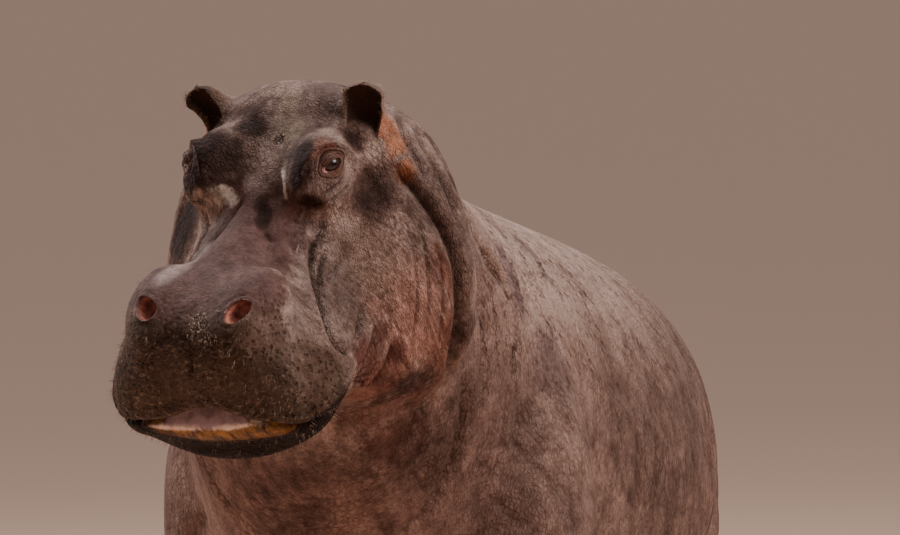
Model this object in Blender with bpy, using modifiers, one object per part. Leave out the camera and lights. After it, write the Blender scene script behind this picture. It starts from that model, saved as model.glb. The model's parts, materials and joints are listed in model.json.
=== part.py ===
"""A standing adult hippopotamus with its head raised, life size, divided into named solids.

Metres, +Z up. The animal faces -Y and its left side is at +X. The origin ends up at the middle of the
ground under it. The soft masses of the body are blocked out with ellipsoids and lofts, fused and smoothed
into one skin, and that whole body is then parted along thin cuts into head, jaw, neck, trunk, legs and so on.
"""

import math

import bmesh
import bpy
from mathutils import Matrix, Vector

# ------------------------------------------------------------------ driving sizes
GAP = 0.0004  # clearance left at every cut, so that neighbouring solids never share a face
EYE_HEIGHT = 1.47  # the point midway between the eyes, above the ground
EYE_AHEAD = 1.00  # that point is this far in front of the withers
HEAD_PITCH = 39.5  # degrees that the line from brow to nostrils falls below the horizontal
HEAD_TURN = 12.5  # degrees that the head is turned to the animal's right
EYE_RADIUS = 0.0215
EYE_PLACE = (0.1485, -0.0030, -0.0020)  # the left eyeball, in the head's own frame
EYE_GAZE = (0.80, -0.50, 0.30)
NOSTRIL_PLACE = (0.096, -0.425, 0.000)
NOSTRIL_FACING = (0.14, -0.62, 0.77)
NOSTRIL_RADII = (0.021, 0.025, 0.045)  # half width, half length, depth
EAR_ROOT = (0.148, 0.168, -0.050)  # middle of the left ear's root
EAR_AIMS = {"left": (0.22, 0.02, 0.98), "right": (-0.56, -0.06, 0.82)}  # from root to tip
EAR_FACING = (0.34, -0.92, 0.20)  # the way the left ear's hollow looks
EAR_RADII = (0.041, 0.030, 0.071)  # half width, half depth, half length
FOOT_LIFT = 0.030  # the feet are modelled this much too deep, then cut flat at the ground
NAIL_RADII = (0.021, 0.013, 0.026)
TRIANGLES = 2300  # in the whole body before it is parted
FINER = 0.15  # how much the head is favoured when triangles are given out
BLEND_VOXEL = 0.018  # grid that fuses the large masses
FORM_VOXEL = 0.012  # grid that adds the small ones

# The head's own frame: origin midway between the eyes, +x the animal's left, +y back, +z up from the face.
HEAD = (
    Matrix.Translation((0.0, -EYE_AHEAD, EYE_HEIGHT))
    @ Matrix.Rotation(math.radians(-HEAD_TURN), 4, "Z")
    @ Matrix.Rotation(math.radians(HEAD_PITCH), 4, "X")
)

# Cross sections of trunk and neck, from rump to nape: y along the body, x of the middle, then the heights
# of the back, of the widest point and of the belly, and the half width.
TRUNK = (
    (1.800, 0.000, 0.900, 0.790, 0.680, 0.080),
    (1.750, 0.000, 1.000, 0.780, 0.560, 0.220),
    (1.620, 0.000, 1.085, 0.750, 0.430, 0.340),
    (1.380, 0.000, 1.155, 0.720, 0.300, 0.425),
    (1.080, 0.000, 1.215, 0.720, 0.230, 0.485),
    (0.730, 0.000, 1.270, 0.750, 0.215, 0.505),
    (0.380, 0.000, 1.325, 0.800, 0.260, 0.475),
    (0.050, 0.000, 1.380, 0.880, 0.350, 0.425),
    (-0.200, 0.000, 1.440, 0.980, 0.435, 0.370),
    (-0.400, 0.000, 1.520, 1.100, 0.575, 0.335),
    (-0.600, 0.005, 1.595, 1.210, 0.760, 0.303),
    (-0.780, 0.020, 1.560, 1.240, 0.915, 0.240),
)

# Cross sections of the head in its own frame, from nape to lips: y back from the eyes, the heights of the
# top, of the widest point and of the throat or chin, the half width, and how square the upper and the lower
# half are (2 is an ellipse, 1 a roof).
SKULL = (
    (0.300, -0.060, -0.230, -0.460, 0.205, 2.0, 2.0),
    (0.210, 0.028, -0.265, -0.570, 0.268, 2.0, 2.2),
    (0.120, 0.028, -0.315, -0.635, 0.310, 1.8, 2.3),
    (0.030, -0.005, -0.335, -0.660, 0.312, 1.60, 2.4),
    (-0.060, -0.018, -0.330, -0.620, 0.285, 1.35, 2.4),
    (-0.150, -0.022, -0.290, -0.535, 0.236, 1.25, 2.4),
    (-0.240, -0.022, -0.245, -0.445, 0.210, 1.50, 2.4),
    (-0.330, -0.018, -0.235, -0.392, 0.222, 2.1, 2.6),
    (-0.410, -0.012, -0.243, -0.375, 0.226, 1.90, 2.6),
    (-0.470, -0.042, -0.225, -0.345, 0.208, 2.00, 2.5),
    (-0.505, -0.095, -0.210, -0.290, 0.142, 2.10, 2.2),
    (-0.518, -0.140, -0.185, -0.230, 0.060, 2.0, 2.0),
)

# Cross sections of a left leg, from inside the trunk to below the ground: x, y and z of the middle, the
# half width across and the half length fore and aft. Each leg is shifted along y by its stride.
FORELEG = (
    (0.260, 0.020, 1.080, 0.110, 0.190),
    (0.310, 0.000, 0.820, 0.150, 0.215),
    (0.315, -0.010, 0.570, 0.150, 0.185),
    (0.300, -0.010, 0.360, 0.122, 0.142),
    (0.292, -0.015, 0.210, 0.110, 0.120),
    (0.292, -0.030, 0.110, 0.122, 0.132),
    (0.292, -0.040, 0.045, 0.138, 0.146),
    (0.292, -0.040, -FOOT_LIFT, 0.138, 0.146),
)
HINDLEG = (
    (0.180, 1.380, 0.980, 0.110, 0.230),
    (0.245, 1.340, 0.760, 0.165, 0.270),
    (0.275, 1.330, 0.540, 0.155, 0.215),
    (0.275, 1.390, 0.350, 0.118, 0.142),
    (0.270, 1.410, 0.220, 0.098, 0.110),
    (0.270, 1.385, 0.120, 0.106, 0.120),
    (0.270, 1.365, 0.045, 0.124, 0.136),
    (0.270, 1.365, -FOOT_LIFT, 0.124, 0.136),
)
STRIDE = {"fore_left": -0.07, "fore_right": 0.05, "hind_left": 0.05, "hind_right": -0.06}
TOE_ANGLES = (-64.0, -22.0, 22.0, 64.0)  # from straight ahead, in degrees
TAIL = (
    (1.660, 0.980, 0.070),
    (1.760, 0.950, 0.056),
    (1.822, 0.870, 0.042),
    (1.846, 0.770, 0.031),
    (1.852, 0.670, 0.024),
    (1.850, 0.580, 0.017),
)


# ------------------------------------------------------------------ small helpers
def clear_scene():
    for thing in list(bpy.data.objects):
        bpy.data.objects.remove(thing)


def material(name, colour, roughness):
    made = bpy.data.materials.new(name)
    made.use_nodes = True
    shader = made.node_tree.nodes["Principled BSDF"]
    shader.inputs["Base Color"].default_value = (*colour, 1.0)
    shader.inputs["Roughness"].default_value = roughness
    shader.inputs["Metallic"].default_value = 0.0
    return made


def collection(name):
    made = bpy.data.collections.new(name)
    bpy.context.scene.collection.children.link(made)
    return made


def to_object(shape, name):
    """A new object in the workshop collection from a bmesh, which is freed."""
    bmesh.ops.recalc_face_normals(shape, faces=shape.faces)
    mesh = bpy.data.meshes.new(name)
    shape.to_mesh(mesh)
    shape.free()
    made = bpy.data.objects.new(name, mesh)
    bpy.data.collections["workshop"].objects.link(made)
    return made


def bake_modifiers(thing):
    """Replaces an object's mesh with what its modifiers make of it."""
    bpy.context.view_layer.update()
    graph = bpy.context.evaluated_depsgraph_get()
    mesh = bpy.data.meshes.new_from_object(thing.evaluated_get(graph))
    thing.modifiers.clear()
    thing.data = mesh
    return thing


FLAT = Matrix.Identity(4)  # the frame of the ground


def mirrored(point):
    return Vector((-point[0], point[1], point[2]))


def both_sides(place):
    """(side, name, place) for the animal's left and right."""
    return ((1, "left", Vector(place)), (-1, "right", mirrored(place)))


# ------------------------------------------------------------------ soft shapes
def ellipsoid(shape, frame, centre, radii, turn=(0.0, 0.0, 0.0)):
    """Adds a stretched sphere, turned by degrees about x, y and z, in a frame."""
    matrix = frame @ Matrix.Translation(centre)
    for degrees, axis in zip(turn, "XYZ"):
        matrix = matrix @ Matrix.Rotation(math.radians(degrees), 4, axis)
    matrix = matrix @ Matrix.Diagonal((*radii, 1.0))
    bmesh.ops.create_uvsphere(shape, u_segments=28, v_segments=18, radius=1.0, matrix=matrix)


def pair(shape, frame, centre, radii, turn=(0.0, 0.0, 0.0)):
    """Adds an ellipsoid on the animal's left and its mirror image on the right."""
    ellipsoid(shape, frame, centre, radii, turn)
    ellipsoid(shape, frame, mirrored(centre), radii, (turn[0], -turn[1], -turn[2]))


def smooth_rows(rows, steps):
    """Catmull-Rom rows between the given ones, so that a few stations make a smooth loft."""
    found = []
    for i in range(len(rows) - 1):
        before, here = rows[max(i - 1, 0)], rows[i]
        there, after = rows[i + 1], rows[min(i + 2, len(rows) - 1)]
        for step in range(steps):
            t = step / steps
            found.append(tuple(
                0.5 * (2 * b + (c - a) * t + (2 * a - 5 * b + 4 * c - d) * t * t
                       + (3 * b - a - 3 * c + d) * t ** 3)
                for a, b, c, d in zip(before, here, there, after)
            ))
    return found + [rows[-1]]


def loft(shape, rings):
    """Adds a closed skin over rings of points that all have the same count."""
    loops = [[shape.verts.new(point) for point in ring] for ring in rings]
    count = len(loops[0])
    for near, far in zip(loops, loops[1:]):
        for i in range(count):
            j = (i + 1) % count
            shape.faces.new((near[i], near[j], far[j], far[i]))
    shape.faces.new(loops[0][::-1])
    shape.faces.new(loops[-1])


def rounded(angle, power):
    """Cosine and sine of an angle on a superellipse."""
    c, s = math.cos(angle), math.sin(angle)
    return (
        math.copysign(abs(c) ** (2 / power), c),
        math.copysign(abs(s) ** (2 / power), s),
    )


def trunk(shape):
    rings = []
    for y, x, back, widest, belly, half_width in smooth_rows(TRUNK, 4):
        ring = []
        for i in range(40):
            c, s = rounded(2 * math.pi * i / 40, 2.1)
            reach = back - widest if s > 0 else widest - belly
            ring.append((x + c * half_width, y, widest + s * reach))
        rings.append(ring)
    loft(shape, rings)


def leg(shape, rows, side, stride):
    rings = []
    for x, y, z, half_width, half_length in smooth_rows(rows, 4):
        turns = (2 * math.pi * i / 24 for i in range(24))
        rings.append([
            (side * (x + half_width * math.cos(t)), y + stride + half_length * math.sin(t), z)
            for t in turns
        ])
    loft(shape, rings)


def tail(shape):
    rings = []
    rows = smooth_rows(TAIL, 4)
    for (y, z, radius), after in zip(rows, rows[1:] + rows[-1:]):
        heading = Vector((0, after[0] - y, after[1] - z))
        heading = heading.normalized() if heading.length > 0 else Vector((0, 0, -1))
        across = Vector((1, 0, 0)).cross(heading)
        ring = []
        for i in range(16):
            t = 2 * math.pi * i / 16
            ring.append(Vector((radius * math.cos(t), y, z)) + across * (1.15 * radius * math.sin(t)))
        rings.append(ring)
    loft(shape, rings)


def head_masses(shape):
    """The large forms of the head, in its own frame."""
    rings = []
    for y, top, widest, low, half_width, upper, lower in smooth_rows(SKULL, 4):
        ring = []
        for i in range(48):
            turn = 2 * math.pi * i / 48
            c, s = rounded(turn, upper if turn < math.pi else lower)
            ring.append(HEAD @ Vector((
                c * half_width, y, widest + s * (top - widest if s > 0 else widest - low),
            )))
        rings.append(ring)
    loft(shape, rings)
    pair(shape, HEAD, (0.129, -0.368, -0.248), (0.128, 0.140, 0.086))  # lip pads


def head_forms(shape):
    """The small forms, added after the large ones are smooth."""
    pair(shape, HEAD, (0.111, 0.020, -0.044), (0.067, 0.108, 0.080), (0, 0, 6))  # orbit
    pair(shape, HEAD, (0.094, -0.368, -0.066), (0.072, 0.125, 0.066), (0, 0, -6))  # nostril mound


def toes(shape, rows, side, stride):
    for middle, degrees in toe_places(rows, side, stride):
        ellipsoid(shape, FLAT, middle, (0.046, 0.064, 0.052), (0, 0, side * degrees))


# ------------------------------------------------------------------ the whole body
def legs():
    """(name, rows, side, stride) of each leg."""
    for name, stride in STRIDE.items():
        rows = FORELEG if name.startswith("fore") else HINDLEG
        yield name, rows, (1 if name.endswith("left") else -1), stride


def toe_places(rows, side, stride):
    """(middle, degrees) of each toe of a leg, from the outer one to the inner one."""
    x, y, _, half_width, half_length = rows[-2]
    for degrees in TOE_ANGLES:
        angle = math.radians(degrees)
        ahead = Vector((math.sin(angle) * half_width, -math.cos(angle) * half_length, 0))
        middle = Vector((x, y + stride, 0.036)) + 0.82 * ahead
        middle.x *= side
        yield middle, degrees


def fuse(thing, voxel, rounds):
    """Welds overlapping shells into one and relaxes the creases where they meet."""
    remesh = thing.modifiers.new("fuse", "REMESH")
    remesh.mode = "VOXEL"
    remesh.voxel_size = voxel
    smooth = thing.modifiers.new("relax", "SMOOTH")
    smooth.factor = 0.5
    smooth.iterations = rounds
    return bake_modifiers(thing)


def whole_body():
    shape = bmesh.new()
    trunk(shape)
    head_masses(shape)
    for _, rows, side, stride in legs():
        leg(shape, rows, side, stride)
    body = fuse(to_object(shape, "body"), BLEND_VOXEL, 8)

    shape = bmesh.new()
    shape.from_mesh(body.data)
    head_forms(shape)
    tail(shape)
    for _, rows, side, stride in legs():
        toes(shape, rows, side, stride)
    body.data.clear_geometry()
    shape.to_mesh(body.data)
    shape.free()
    return fuse(body, FORM_VOXEL, 8)


def thin_out(thing, triangles):
    """Reduces a body to so many triangles, keeping the head finer than the rest."""
    count = sum(len(face.vertices) - 2 for face in thing.data.polygons)
    group = thing.vertex_groups.new(name="coarse")
    brow = HEAD @ Vector((0, -0.15, -0.15))
    for vertex in thing.data.vertices:
        near = (vertex.co - brow).length < 0.50
        group.add([vertex.index], 0.5 if near else 1.0, "REPLACE")
    thin = thing.modifiers.new("thin", "DECIMATE")
    thin.ratio = triangles / count
    thin.vertex_group = "coarse"
    thin.vertex_group_factor = FINER
    thin.use_collapse_triangulate = True
    return bake_modifiers(thing)


# ------------------------------------------------------------------ cutting
def cut(thing, tool, operation):
    """Applies one Boolean and throws the tool away."""
    change = thing.modifiers.new("cut", "BOOLEAN")
    change.operation = operation
    change.solver = "EXACT"
    change.object = tool
    bake_modifiers(thing)
    tidy = bmesh.new()
    tidy.from_mesh(thing.data)
    bmesh.ops.remove_doubles(tidy, verts=tidy.verts, dist=0.00002)
    bmesh.ops.dissolve_degenerate(tidy, edges=tidy.edges, dist=0.00002)
    bmesh.ops.triangulate(tidy, faces=tidy.faces)
    tidy.to_mesh(thing.data)
    tidy.free()
    bpy.data.objects.remove(tool)
    return thing


def twin(thing, name):
    made = bpy.data.objects.new(name, thing.data.copy())
    bpy.data.collections["workshop"].objects.link(made)
    return made


def block(low, high, frame=FLAT):
    """A box between two corners, in a frame."""
    shape = bmesh.new()
    low, high = Vector(low), Vector(high)
    size = Matrix.Diagonal((*(high - low), 1.0))
    bmesh.ops.create_cube(shape, size=1.0, matrix=frame @ Matrix.Translation((low + high) / 2) @ size)
    return to_object(shape, "block")


def split(thing, name, shape_of):
    """Takes from a solid whatever is inside a tool; both keep clear of the tool's skin by half the gap.

    shape_of(grow) must give the tool grown outwards by that much.
    """
    piece = cut(twin(thing, name), shape_of(-GAP / 2), "INTERSECT")
    cut(thing, shape_of(GAP / 2), "DIFFERENCE")
    return piece


def ball(frame, centre, radii, aim=None, segments=24, rows=14):
    """An ellipsoid whose own z axis points along aim."""
    shape = bmesh.new()
    matrix = frame @ Matrix.Translation(centre)
    if aim is not None:
        matrix = matrix @ Vector(aim).to_track_quat("Z", "Y").to_matrix().to_4x4()
    matrix = matrix @ Matrix.Diagonal((*radii, 1.0))
    bmesh.ops.create_uvsphere(shape, u_segments=segments, v_segments=rows, radius=1.0, matrix=matrix)
    return to_object(shape, "ball")


def part_at(thing, name, point, normal):
    """Parts a solid at a plane: the named piece is the one that the plane's normal points to."""
    point, normal = Vector(point), Vector(normal).normalized()
    piece = twin(thing, name)
    for solid, side in ((piece, 1), (thing, -1)):
        shape = bmesh.new()
        shape.from_mesh(solid.data)
        everything = shape.verts[:] + shape.edges[:] + shape.faces[:]
        bmesh.ops.bisect_plane(
            shape, geom=everything, dist=0.00001, plane_co=point + normal * (side * GAP / 2),
            plane_no=normal, clear_inner=side > 0, clear_outer=side < 0,
        )
        rim = [edge for edge in shape.edges if edge.is_boundary]
        bmesh.ops.triangle_fill(shape, edges=rim, use_beauty=True, use_dissolve=False)
        bmesh.ops.triangulate(shape, faces=shape.faces)
        bmesh.ops.recalc_face_normals(shape, faces=shape.faces)
        shape.to_mesh(solid.data)
        shape.free()
    return piece


def tail_region():
    """For split: a slab that holds the tail and meets the rump on a flat face."""
    lean = Matrix.Translation((0, 1.800, 1.020)) @ Matrix.Rotation(math.radians(-4), 4, "X")
    low, high = Vector((-0.054, -0.020, -0.60)), Vector((0.054, 0.30, 0.0))
    return lambda grow: block(low - Vector((grow,) * 3), high + Vector((grow,) * 3), lean)


def limb_region(x, y, top, reach, side):
    """For split: an upright rounded column that holds one leg, with a domed top."""
    def shape_of(grow):
        shape = bmesh.new()
        rings = []
        for i in range(9):
            rise = max(0.0, (i - 4) / 4)
            width = max(0.10, math.sqrt(1 - rise ** 2)) + 0.35 * max(0.0, 1 - i / 3)
            z = -0.2 + (top - reach + 0.2) * min(1.0, i / 4) + reach * rise
            spread = reach * width + grow
            rings.append([
                (side * x + spread * 0.92 * math.cos(t), y + spread * math.sin(t), z + grow)
                for t in (2 * math.pi * k / 16 for k in range(16))
            ])
        loft(shape, rings)
        return to_object(shape, "limb region")
    return shape_of


def mouth_region():
    """For split: the lower jaw, under a surface that follows the closed lips."""
    def shape_of(grow):
        shape = bmesh.new()
        rings = []
        for k in range(9):
            x = 0.30 * (k - 4) / 4
            arch = 0.040 * math.cos(min(1.0, abs(x) / 0.17) * math.pi / 2) ** 2
            line = (
                (-0.60, -0.272 + arch), (-0.47, -0.268 + arch), (-0.38, -0.274 + 0.5 * arch),
                (-0.28, -0.290), (-0.20, -0.300), (-0.145, -0.300),
            )
            ring = [Vector((x, y, z + grow)) for y, z in line[:-1]]
            ring.append(Vector((x, line[-1][0] + grow, line[-1][1] + grow)))
            ring.append(Vector((x, -0.100 + grow, -0.72)))
            ring.append(Vector((x, -0.62, -0.72)))
            rings.append([HEAD @ point for point in ring])
        loft(shape, rings)
        return to_object(shape, "mouth region")
    return shape_of


# ------------------------------------------------------------------ eyes, ears, nostrils and nails
def eye(head, name, side, place):
    gaze = Vector(EYE_GAZE)
    gaze.x *= side
    gaze.normalize()
    cut(head, ball(HEAD, place + gaze * 0.024, (0.028, 0.015, 0.026), gaze, 14, 8), "DIFFERENCE")
    cut(head, ball(HEAD, place, (EYE_RADIUS + GAP,) * 3, gaze, 12, 8), "DIFFERENCE")
    made = ball(HEAD, place, (EYE_RADIUS,) * 3, gaze, 12, 8)
    made.name = name
    return made


def ear_shape(side, word, root, grow):
    """The outside of an ear: a leaf, wide in the middle, round at the tip."""
    aim, facing = Vector(EAR_AIMS[word]).normalized(), Vector(EAR_FACING)
    facing.x *= side
    across = aim.cross(facing).normalized()
    facing = across.cross(aim)
    half_width, half_depth, half_length = EAR_RADII
    shape = bmesh.new()
    rings = []
    for i in range(9):
        t = -0.97 + 1.94 * i / 8
        swell = math.sqrt(1 - t * t)
        middle = root + aim * (half_length * 0.62 + (half_length + grow) * t)
        rings.append([
            HEAD @ (
                middle
                + across * ((half_width * swell + grow) * math.cos(a))
                + facing * ((half_depth * swell + grow) * math.sin(a))
            )
            for a in (2 * math.pi * k / 12 for k in range(12))
        ])
    loft(shape, rings)
    return to_object(shape, "ear"), aim, facing


def ear(head, word, side, root):
    made, aim, facing = ear_shape(side, word, root, 0.0)
    socket, _, _ = ear_shape(side, word, root, GAP)
    cut(head, socket, "DIFFERENCE")
    half_width, half_depth, half_length = EAR_RADII
    hollow = root + aim * (half_length * 0.80) + facing * (half_depth * 0.85)
    tool = ball(HEAD, hollow, (half_width * 0.74, half_depth * 0.95, half_length * 0.66), aim, 12, 8)
    cut(made, tool, "DIFFERENCE")
    made.name = "ear_" + word
    return made


def nostril(head, side, place):
    aim = Vector(NOSTRIL_FACING)
    aim.x *= side
    cut(head, ball(HEAD, place, NOSTRIL_RADII, aim, 12, 8), "DIFFERENCE")


def nails(foot, leg_name, rows, side, stride):
    """The nails of one foot, each set in a pocket at the front of its toe."""
    found = []
    for number, (middle, degrees) in enumerate(toe_places(rows, side, stride), start=1):
        angle = math.radians(degrees)
        ahead = Vector((side * math.sin(angle), -math.cos(angle), 0))
        place = middle + ahead * 0.058 + Vector((0, 0, -0.008))
        across, thick, tall = NAIL_RADII
        turn = Matrix.Translation(place) @ Matrix.Rotation(side * angle, 4, "Z")
        turn = turn @ Matrix.Rotation(math.radians(-14), 4, "X")
        tool = ball(turn, (0, 0, 0), (across + GAP, thick + GAP, tall + GAP), None, 8, 5)
        cut(foot, tool, "DIFFERENCE")
        made = ball(turn, (0, 0, 0), (across, thick, tall), None, 8, 5)
        made.name = f"nail_{leg_name}_{number}"
        found.append(made)
    return found


# ------------------------------------------------------------------ assembly
def main():
    clear_scene()
    collection("workshop")
    animal = collection("hippopotamus")
    body = thin_out(whole_body(), TRIANGLES)
    body = cut(body, block((-3, -3, -1), (3, 3, 0)), "DIFFERENCE")
    horn, eyes, hide = [], [], []
    hide.append(split(body, "tail", tail_region()))
    for name, rows, side, stride in legs():
        x, y = rows[3][0], rows[3][1] + stride
        upper = split(body, "leg_" + name, limb_region(x + 0.05, y, 0.80, 0.235, side))
        ankle = 0.205 if name.startswith("fore") else 0.235
        foot = part_at(upper, "foot_" + name, (0, 0, ankle), (0, 0, -1))
        horn += nails(foot, name, rows, side, stride)
        hide += [upper, foot]

    head = part_at(body, "head", (0, -0.735, 1.35), (-0.10, -1.0, -0.06))
    neck = part_at(body, "neck", (0, -0.290, 1.05), (0, -1.0, -0.22))
    jaw = split(head, "lower_jaw", mouth_region())
    body.name = "trunk"
    hide += [head, neck, jaw, body]
    for side, word, place in both_sides(EYE_PLACE):
        eyes.append(eye(head, "eye_" + word, side, place))
    for side, word, root in both_sides(EAR_ROOT):
        hide.append(ear(head, word, side, root))
    for side, _, place in both_sides(NOSTRIL_PLACE):
        nostril(head, side, place)

    pieces = hide + eyes + horn
    corners = [vertex.co for piece in pieces for vertex in piece.data.vertices]
    low = Vector(min(corner[i] for corner in corners) for i in range(3))
    high = Vector(max(corner[i] for corner in corners) for i in range(3))
    shift = Matrix.Translation((-(low.x + high.x) / 2, -(low.y + high.y) / 2, -low.z))
    skin = material("hippopotamus hide", (0.16, 0.11, 0.10), 0.55)
    dark = material("wet eye", (0.02, 0.012, 0.008), 0.08)
    nail = material("toenail horn", (0.12, 0.09, 0.07), 0.45)
    for group, finish in ((hide, skin), (eyes, dark), (horn, nail)):
        for piece in group:
            piece.data.transform(shift)
            piece.data.materials.clear()
            piece.data.materials.append(finish)
            piece.data.shade_smooth()
            piece.data.set_sharp_from_angle(angle=math.radians(40))
            piece.vertex_groups.clear()
            animal.objects.link(piece)
            bpy.data.collections["workshop"].objects.unlink(piece)
    bpy.data.collections.remove(bpy.data.collections["workshop"])


main()
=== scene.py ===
# %% [markdown]
# # A hippopotamus, from soft masses to wrinkled hide
#
# The animal was blocked out in CAD as named solids that part along flat cuts. This lesson gives it its
# looks: one unbroken skin, sculpted by code, then eyes, nails and bristles, each with its own finish.
# Everything shares the CAD model's frame, in metres: the head points to -Y and the left side is at +X.

# %% Load the fixed frame
import json
import math
import random

import bmesh
import bpy
import numpy as np
from mathutils import Matrix, Vector, noise
from mathutils.bvhtree import BVHTree

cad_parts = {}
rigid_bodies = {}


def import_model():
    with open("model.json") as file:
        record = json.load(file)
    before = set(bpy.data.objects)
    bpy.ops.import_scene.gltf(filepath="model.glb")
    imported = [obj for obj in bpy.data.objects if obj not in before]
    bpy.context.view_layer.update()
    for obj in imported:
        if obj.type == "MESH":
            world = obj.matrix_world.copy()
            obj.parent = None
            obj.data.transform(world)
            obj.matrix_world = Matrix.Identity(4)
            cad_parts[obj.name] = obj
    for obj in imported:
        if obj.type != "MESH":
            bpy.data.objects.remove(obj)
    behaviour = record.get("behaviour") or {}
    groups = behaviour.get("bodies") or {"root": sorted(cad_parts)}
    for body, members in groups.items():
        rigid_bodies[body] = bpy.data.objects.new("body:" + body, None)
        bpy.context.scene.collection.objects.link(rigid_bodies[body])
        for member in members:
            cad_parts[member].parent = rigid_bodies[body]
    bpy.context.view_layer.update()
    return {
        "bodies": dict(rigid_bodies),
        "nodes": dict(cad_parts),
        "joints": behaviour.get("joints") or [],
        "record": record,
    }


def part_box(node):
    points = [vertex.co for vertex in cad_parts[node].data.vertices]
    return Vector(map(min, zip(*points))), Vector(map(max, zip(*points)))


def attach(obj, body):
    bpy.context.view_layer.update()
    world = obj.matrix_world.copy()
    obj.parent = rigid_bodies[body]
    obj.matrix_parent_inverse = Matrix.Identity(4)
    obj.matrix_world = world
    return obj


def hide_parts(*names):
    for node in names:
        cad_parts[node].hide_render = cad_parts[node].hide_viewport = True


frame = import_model()
FLESH = [name for name in frame["nodes"] if not name.startswith(("eye", "nail"))]
print("flesh nodes that one skin will replace:", len(FLESH))

# %% [markdown]
# ## Two frames to measure in
#
# A head is easiest to describe in its own frame, so points on it are given from midway between the eyes:
# x to the animal's left, y back, z up out of the face. The trunk and legs use a second frame that stays
# level, with its origin on the ground under the withers. Both are found from the eyeballs in the CAD model.

# %% The head's frame and the body's frame
HEAD_PITCH = 39.5  # degrees that the face slopes down
EYE_PLACE = Vector((0.1485, -0.0030, -0.0020))  # the left eyeball in the head's frame
EYE_GAZE = Vector((0.80, -0.50, 0.30)).normalized()
EYE_RADIUS = 0.0215
EYE_HEIGHT, EYE_AHEAD = 1.47, 1.00  # of the head's frame, from the body's


def mm(table):
    """Numbers in nested tuples or lists, from millimetres to metres."""
    return tuple(map(mm, table)) if isinstance(table, (tuple, list)) else table / 1000


def middle_of(node):
    low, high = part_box(node)
    return (low + high) / 2


left_eye, right_eye = middle_of("eye_left"), middle_of("eye_right")
across = left_eye - right_eye
HEAD_TURN = math.atan2(across.y, across.x)
TILTED = Matrix.Rotation(HEAD_TURN, 4, "Z") @ Matrix.Rotation(math.radians(HEAD_PITCH), 4, "X")
brow = (left_eye + right_eye) / 2 - TILTED @ Vector((0, EYE_PLACE.y, EYE_PLACE.z))
HEAD = Matrix.Translation(brow) @ TILTED
BODY = Matrix.Translation(brow - Vector((0, -EYE_AHEAD, EYE_HEIGHT)))
print("head turned", round(math.degrees(HEAD_TURN), 2), "degrees; body frame at", BODY.translation[:])


# %% [markdown]
# ## The camera comes first
#
# A long lens far away keeps the animal's proportions honest. The camera stands a little above eye level
# and a little to the animal's left of straight ahead, and looks past the head so that the back shows too.

# %% The camera
def camera(turn, rise, distance, span, right_by, down_by):
    """Looks past the eyes from afar; span is how many metres fit across the frame there."""
    turn, rise = math.radians(turn), math.radians(rise)
    towards = Vector((math.sin(turn) * math.cos(rise), -math.cos(turn) * math.cos(rise), math.sin(rise)))
    right = Vector((math.cos(turn), math.sin(turn), 0))
    up = towards.cross(right)
    aim = (left_eye + right_eye) / 2 + right * right_by - up * down_by
    lens = bpy.data.cameras.new("camera")
    lens.sensor_width = 36
    lens.lens = lens.sensor_width * distance / span
    lens.clip_end = 300
    made = bpy.data.objects.new("camera", lens)
    made.matrix_world = Matrix.Translation(aim + towards * distance) @ Matrix(
        (right, up, towards)).transposed().to_4x4()
    bpy.context.scene.collection.objects.link(made)
    bpy.context.scene.camera = made


camera(turn=13.1, rise=3.2, distance=18.0, span=30 / 17, right_by=0.370, down_by=0.206)
print("camera at", [round(v, 2) for v in bpy.context.scene.camera.location])


# %% [markdown]
# ## Soft masses
#
# Flesh has no edges, so it is laid up from overlapping closed shells: lofts through a few cross sections
# for trunk, skull and legs, and ellipsoids for pads and toes. A voxel remesh fuses the shells and a little
# smoothing relaxes the creases where they meet. Metaballs would do it too, but lofts hold a profile better.

# %% Helpers that make shells
def smooth_rows(rows, steps):
    """Catmull-Rom rows between the given ones, so that a few stations make a smooth line."""
    found = []
    for i in range(len(rows) - 1):
        before, here = rows[max(i - 1, 0)], rows[i]
        there, after = rows[i + 1], rows[min(i + 2, len(rows) - 1)]
        for step in range(steps):
            t = step / steps
            found.append(tuple(
                0.5 * (2 * b + (c - a) * t + (2 * a - 5 * b + 4 * c - d) * t * t
                       + (3 * b - a - 3 * c + d) * t ** 3)
                for a, b, c, d in zip(before, here, there, after)
            ))
    return found + [tuple(rows[-1])]


def loft(shape, rings):
    """A closed shell over rings of points that all have the same count."""
    loops = [[shape.verts.new(point) for point in ring] for ring in rings]
    count = len(loops[0])
    for near, far in zip(loops, loops[1:]):
        for i in range(count):
            j = (i + 1) % count
            shape.faces.new((near[i], near[j], far[j], far[i]))
    shape.faces.new(loops[0][::-1])
    shape.faces.new(loops[-1])


def rounded(angle, power):
    """Cosine and sine of an angle on a superellipse: 2 is round, more is squarer, 1 is a roof."""
    c, s = math.cos(angle), math.sin(angle)
    return math.copysign(abs(c) ** (2 / power), c), math.copysign(abs(s) ** (2 / power), s)


def section(frame, y, x, top, widest, low, half_width, upper, lower, count):
    """A ring of points whose upper and lower halves are superellipses of different powers."""
    ring = []
    for i in range(count):
        turn = 2 * math.pi * i / count
        c, s = rounded(turn, upper if turn < math.pi else lower)
        reach = top - widest if s > 0 else widest - low
        ring.append(frame @ Vector((x + c * half_width, y, widest + s * reach)))
    return ring


def ellipsoid(shape, place, radii, turn=0.0):
    """A stretched sphere, turned by degrees about its own z axis."""
    matrix = place @ Matrix.Rotation(math.radians(turn), 4, "Z") @ Matrix.Diagonal((*radii, 1.0))
    bmesh.ops.create_uvsphere(shape, u_segments=28, v_segments=18, radius=1.0, matrix=matrix)


def both(shape, centre, radii, turn=0.0):
    """An ellipsoid on the head's left and its mirror image on the right."""
    x, y, z = centre
    for side in (1, -1):
        ellipsoid(shape, HEAD @ Matrix.Translation((side * x, y, z)), radii, side * turn)


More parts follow.
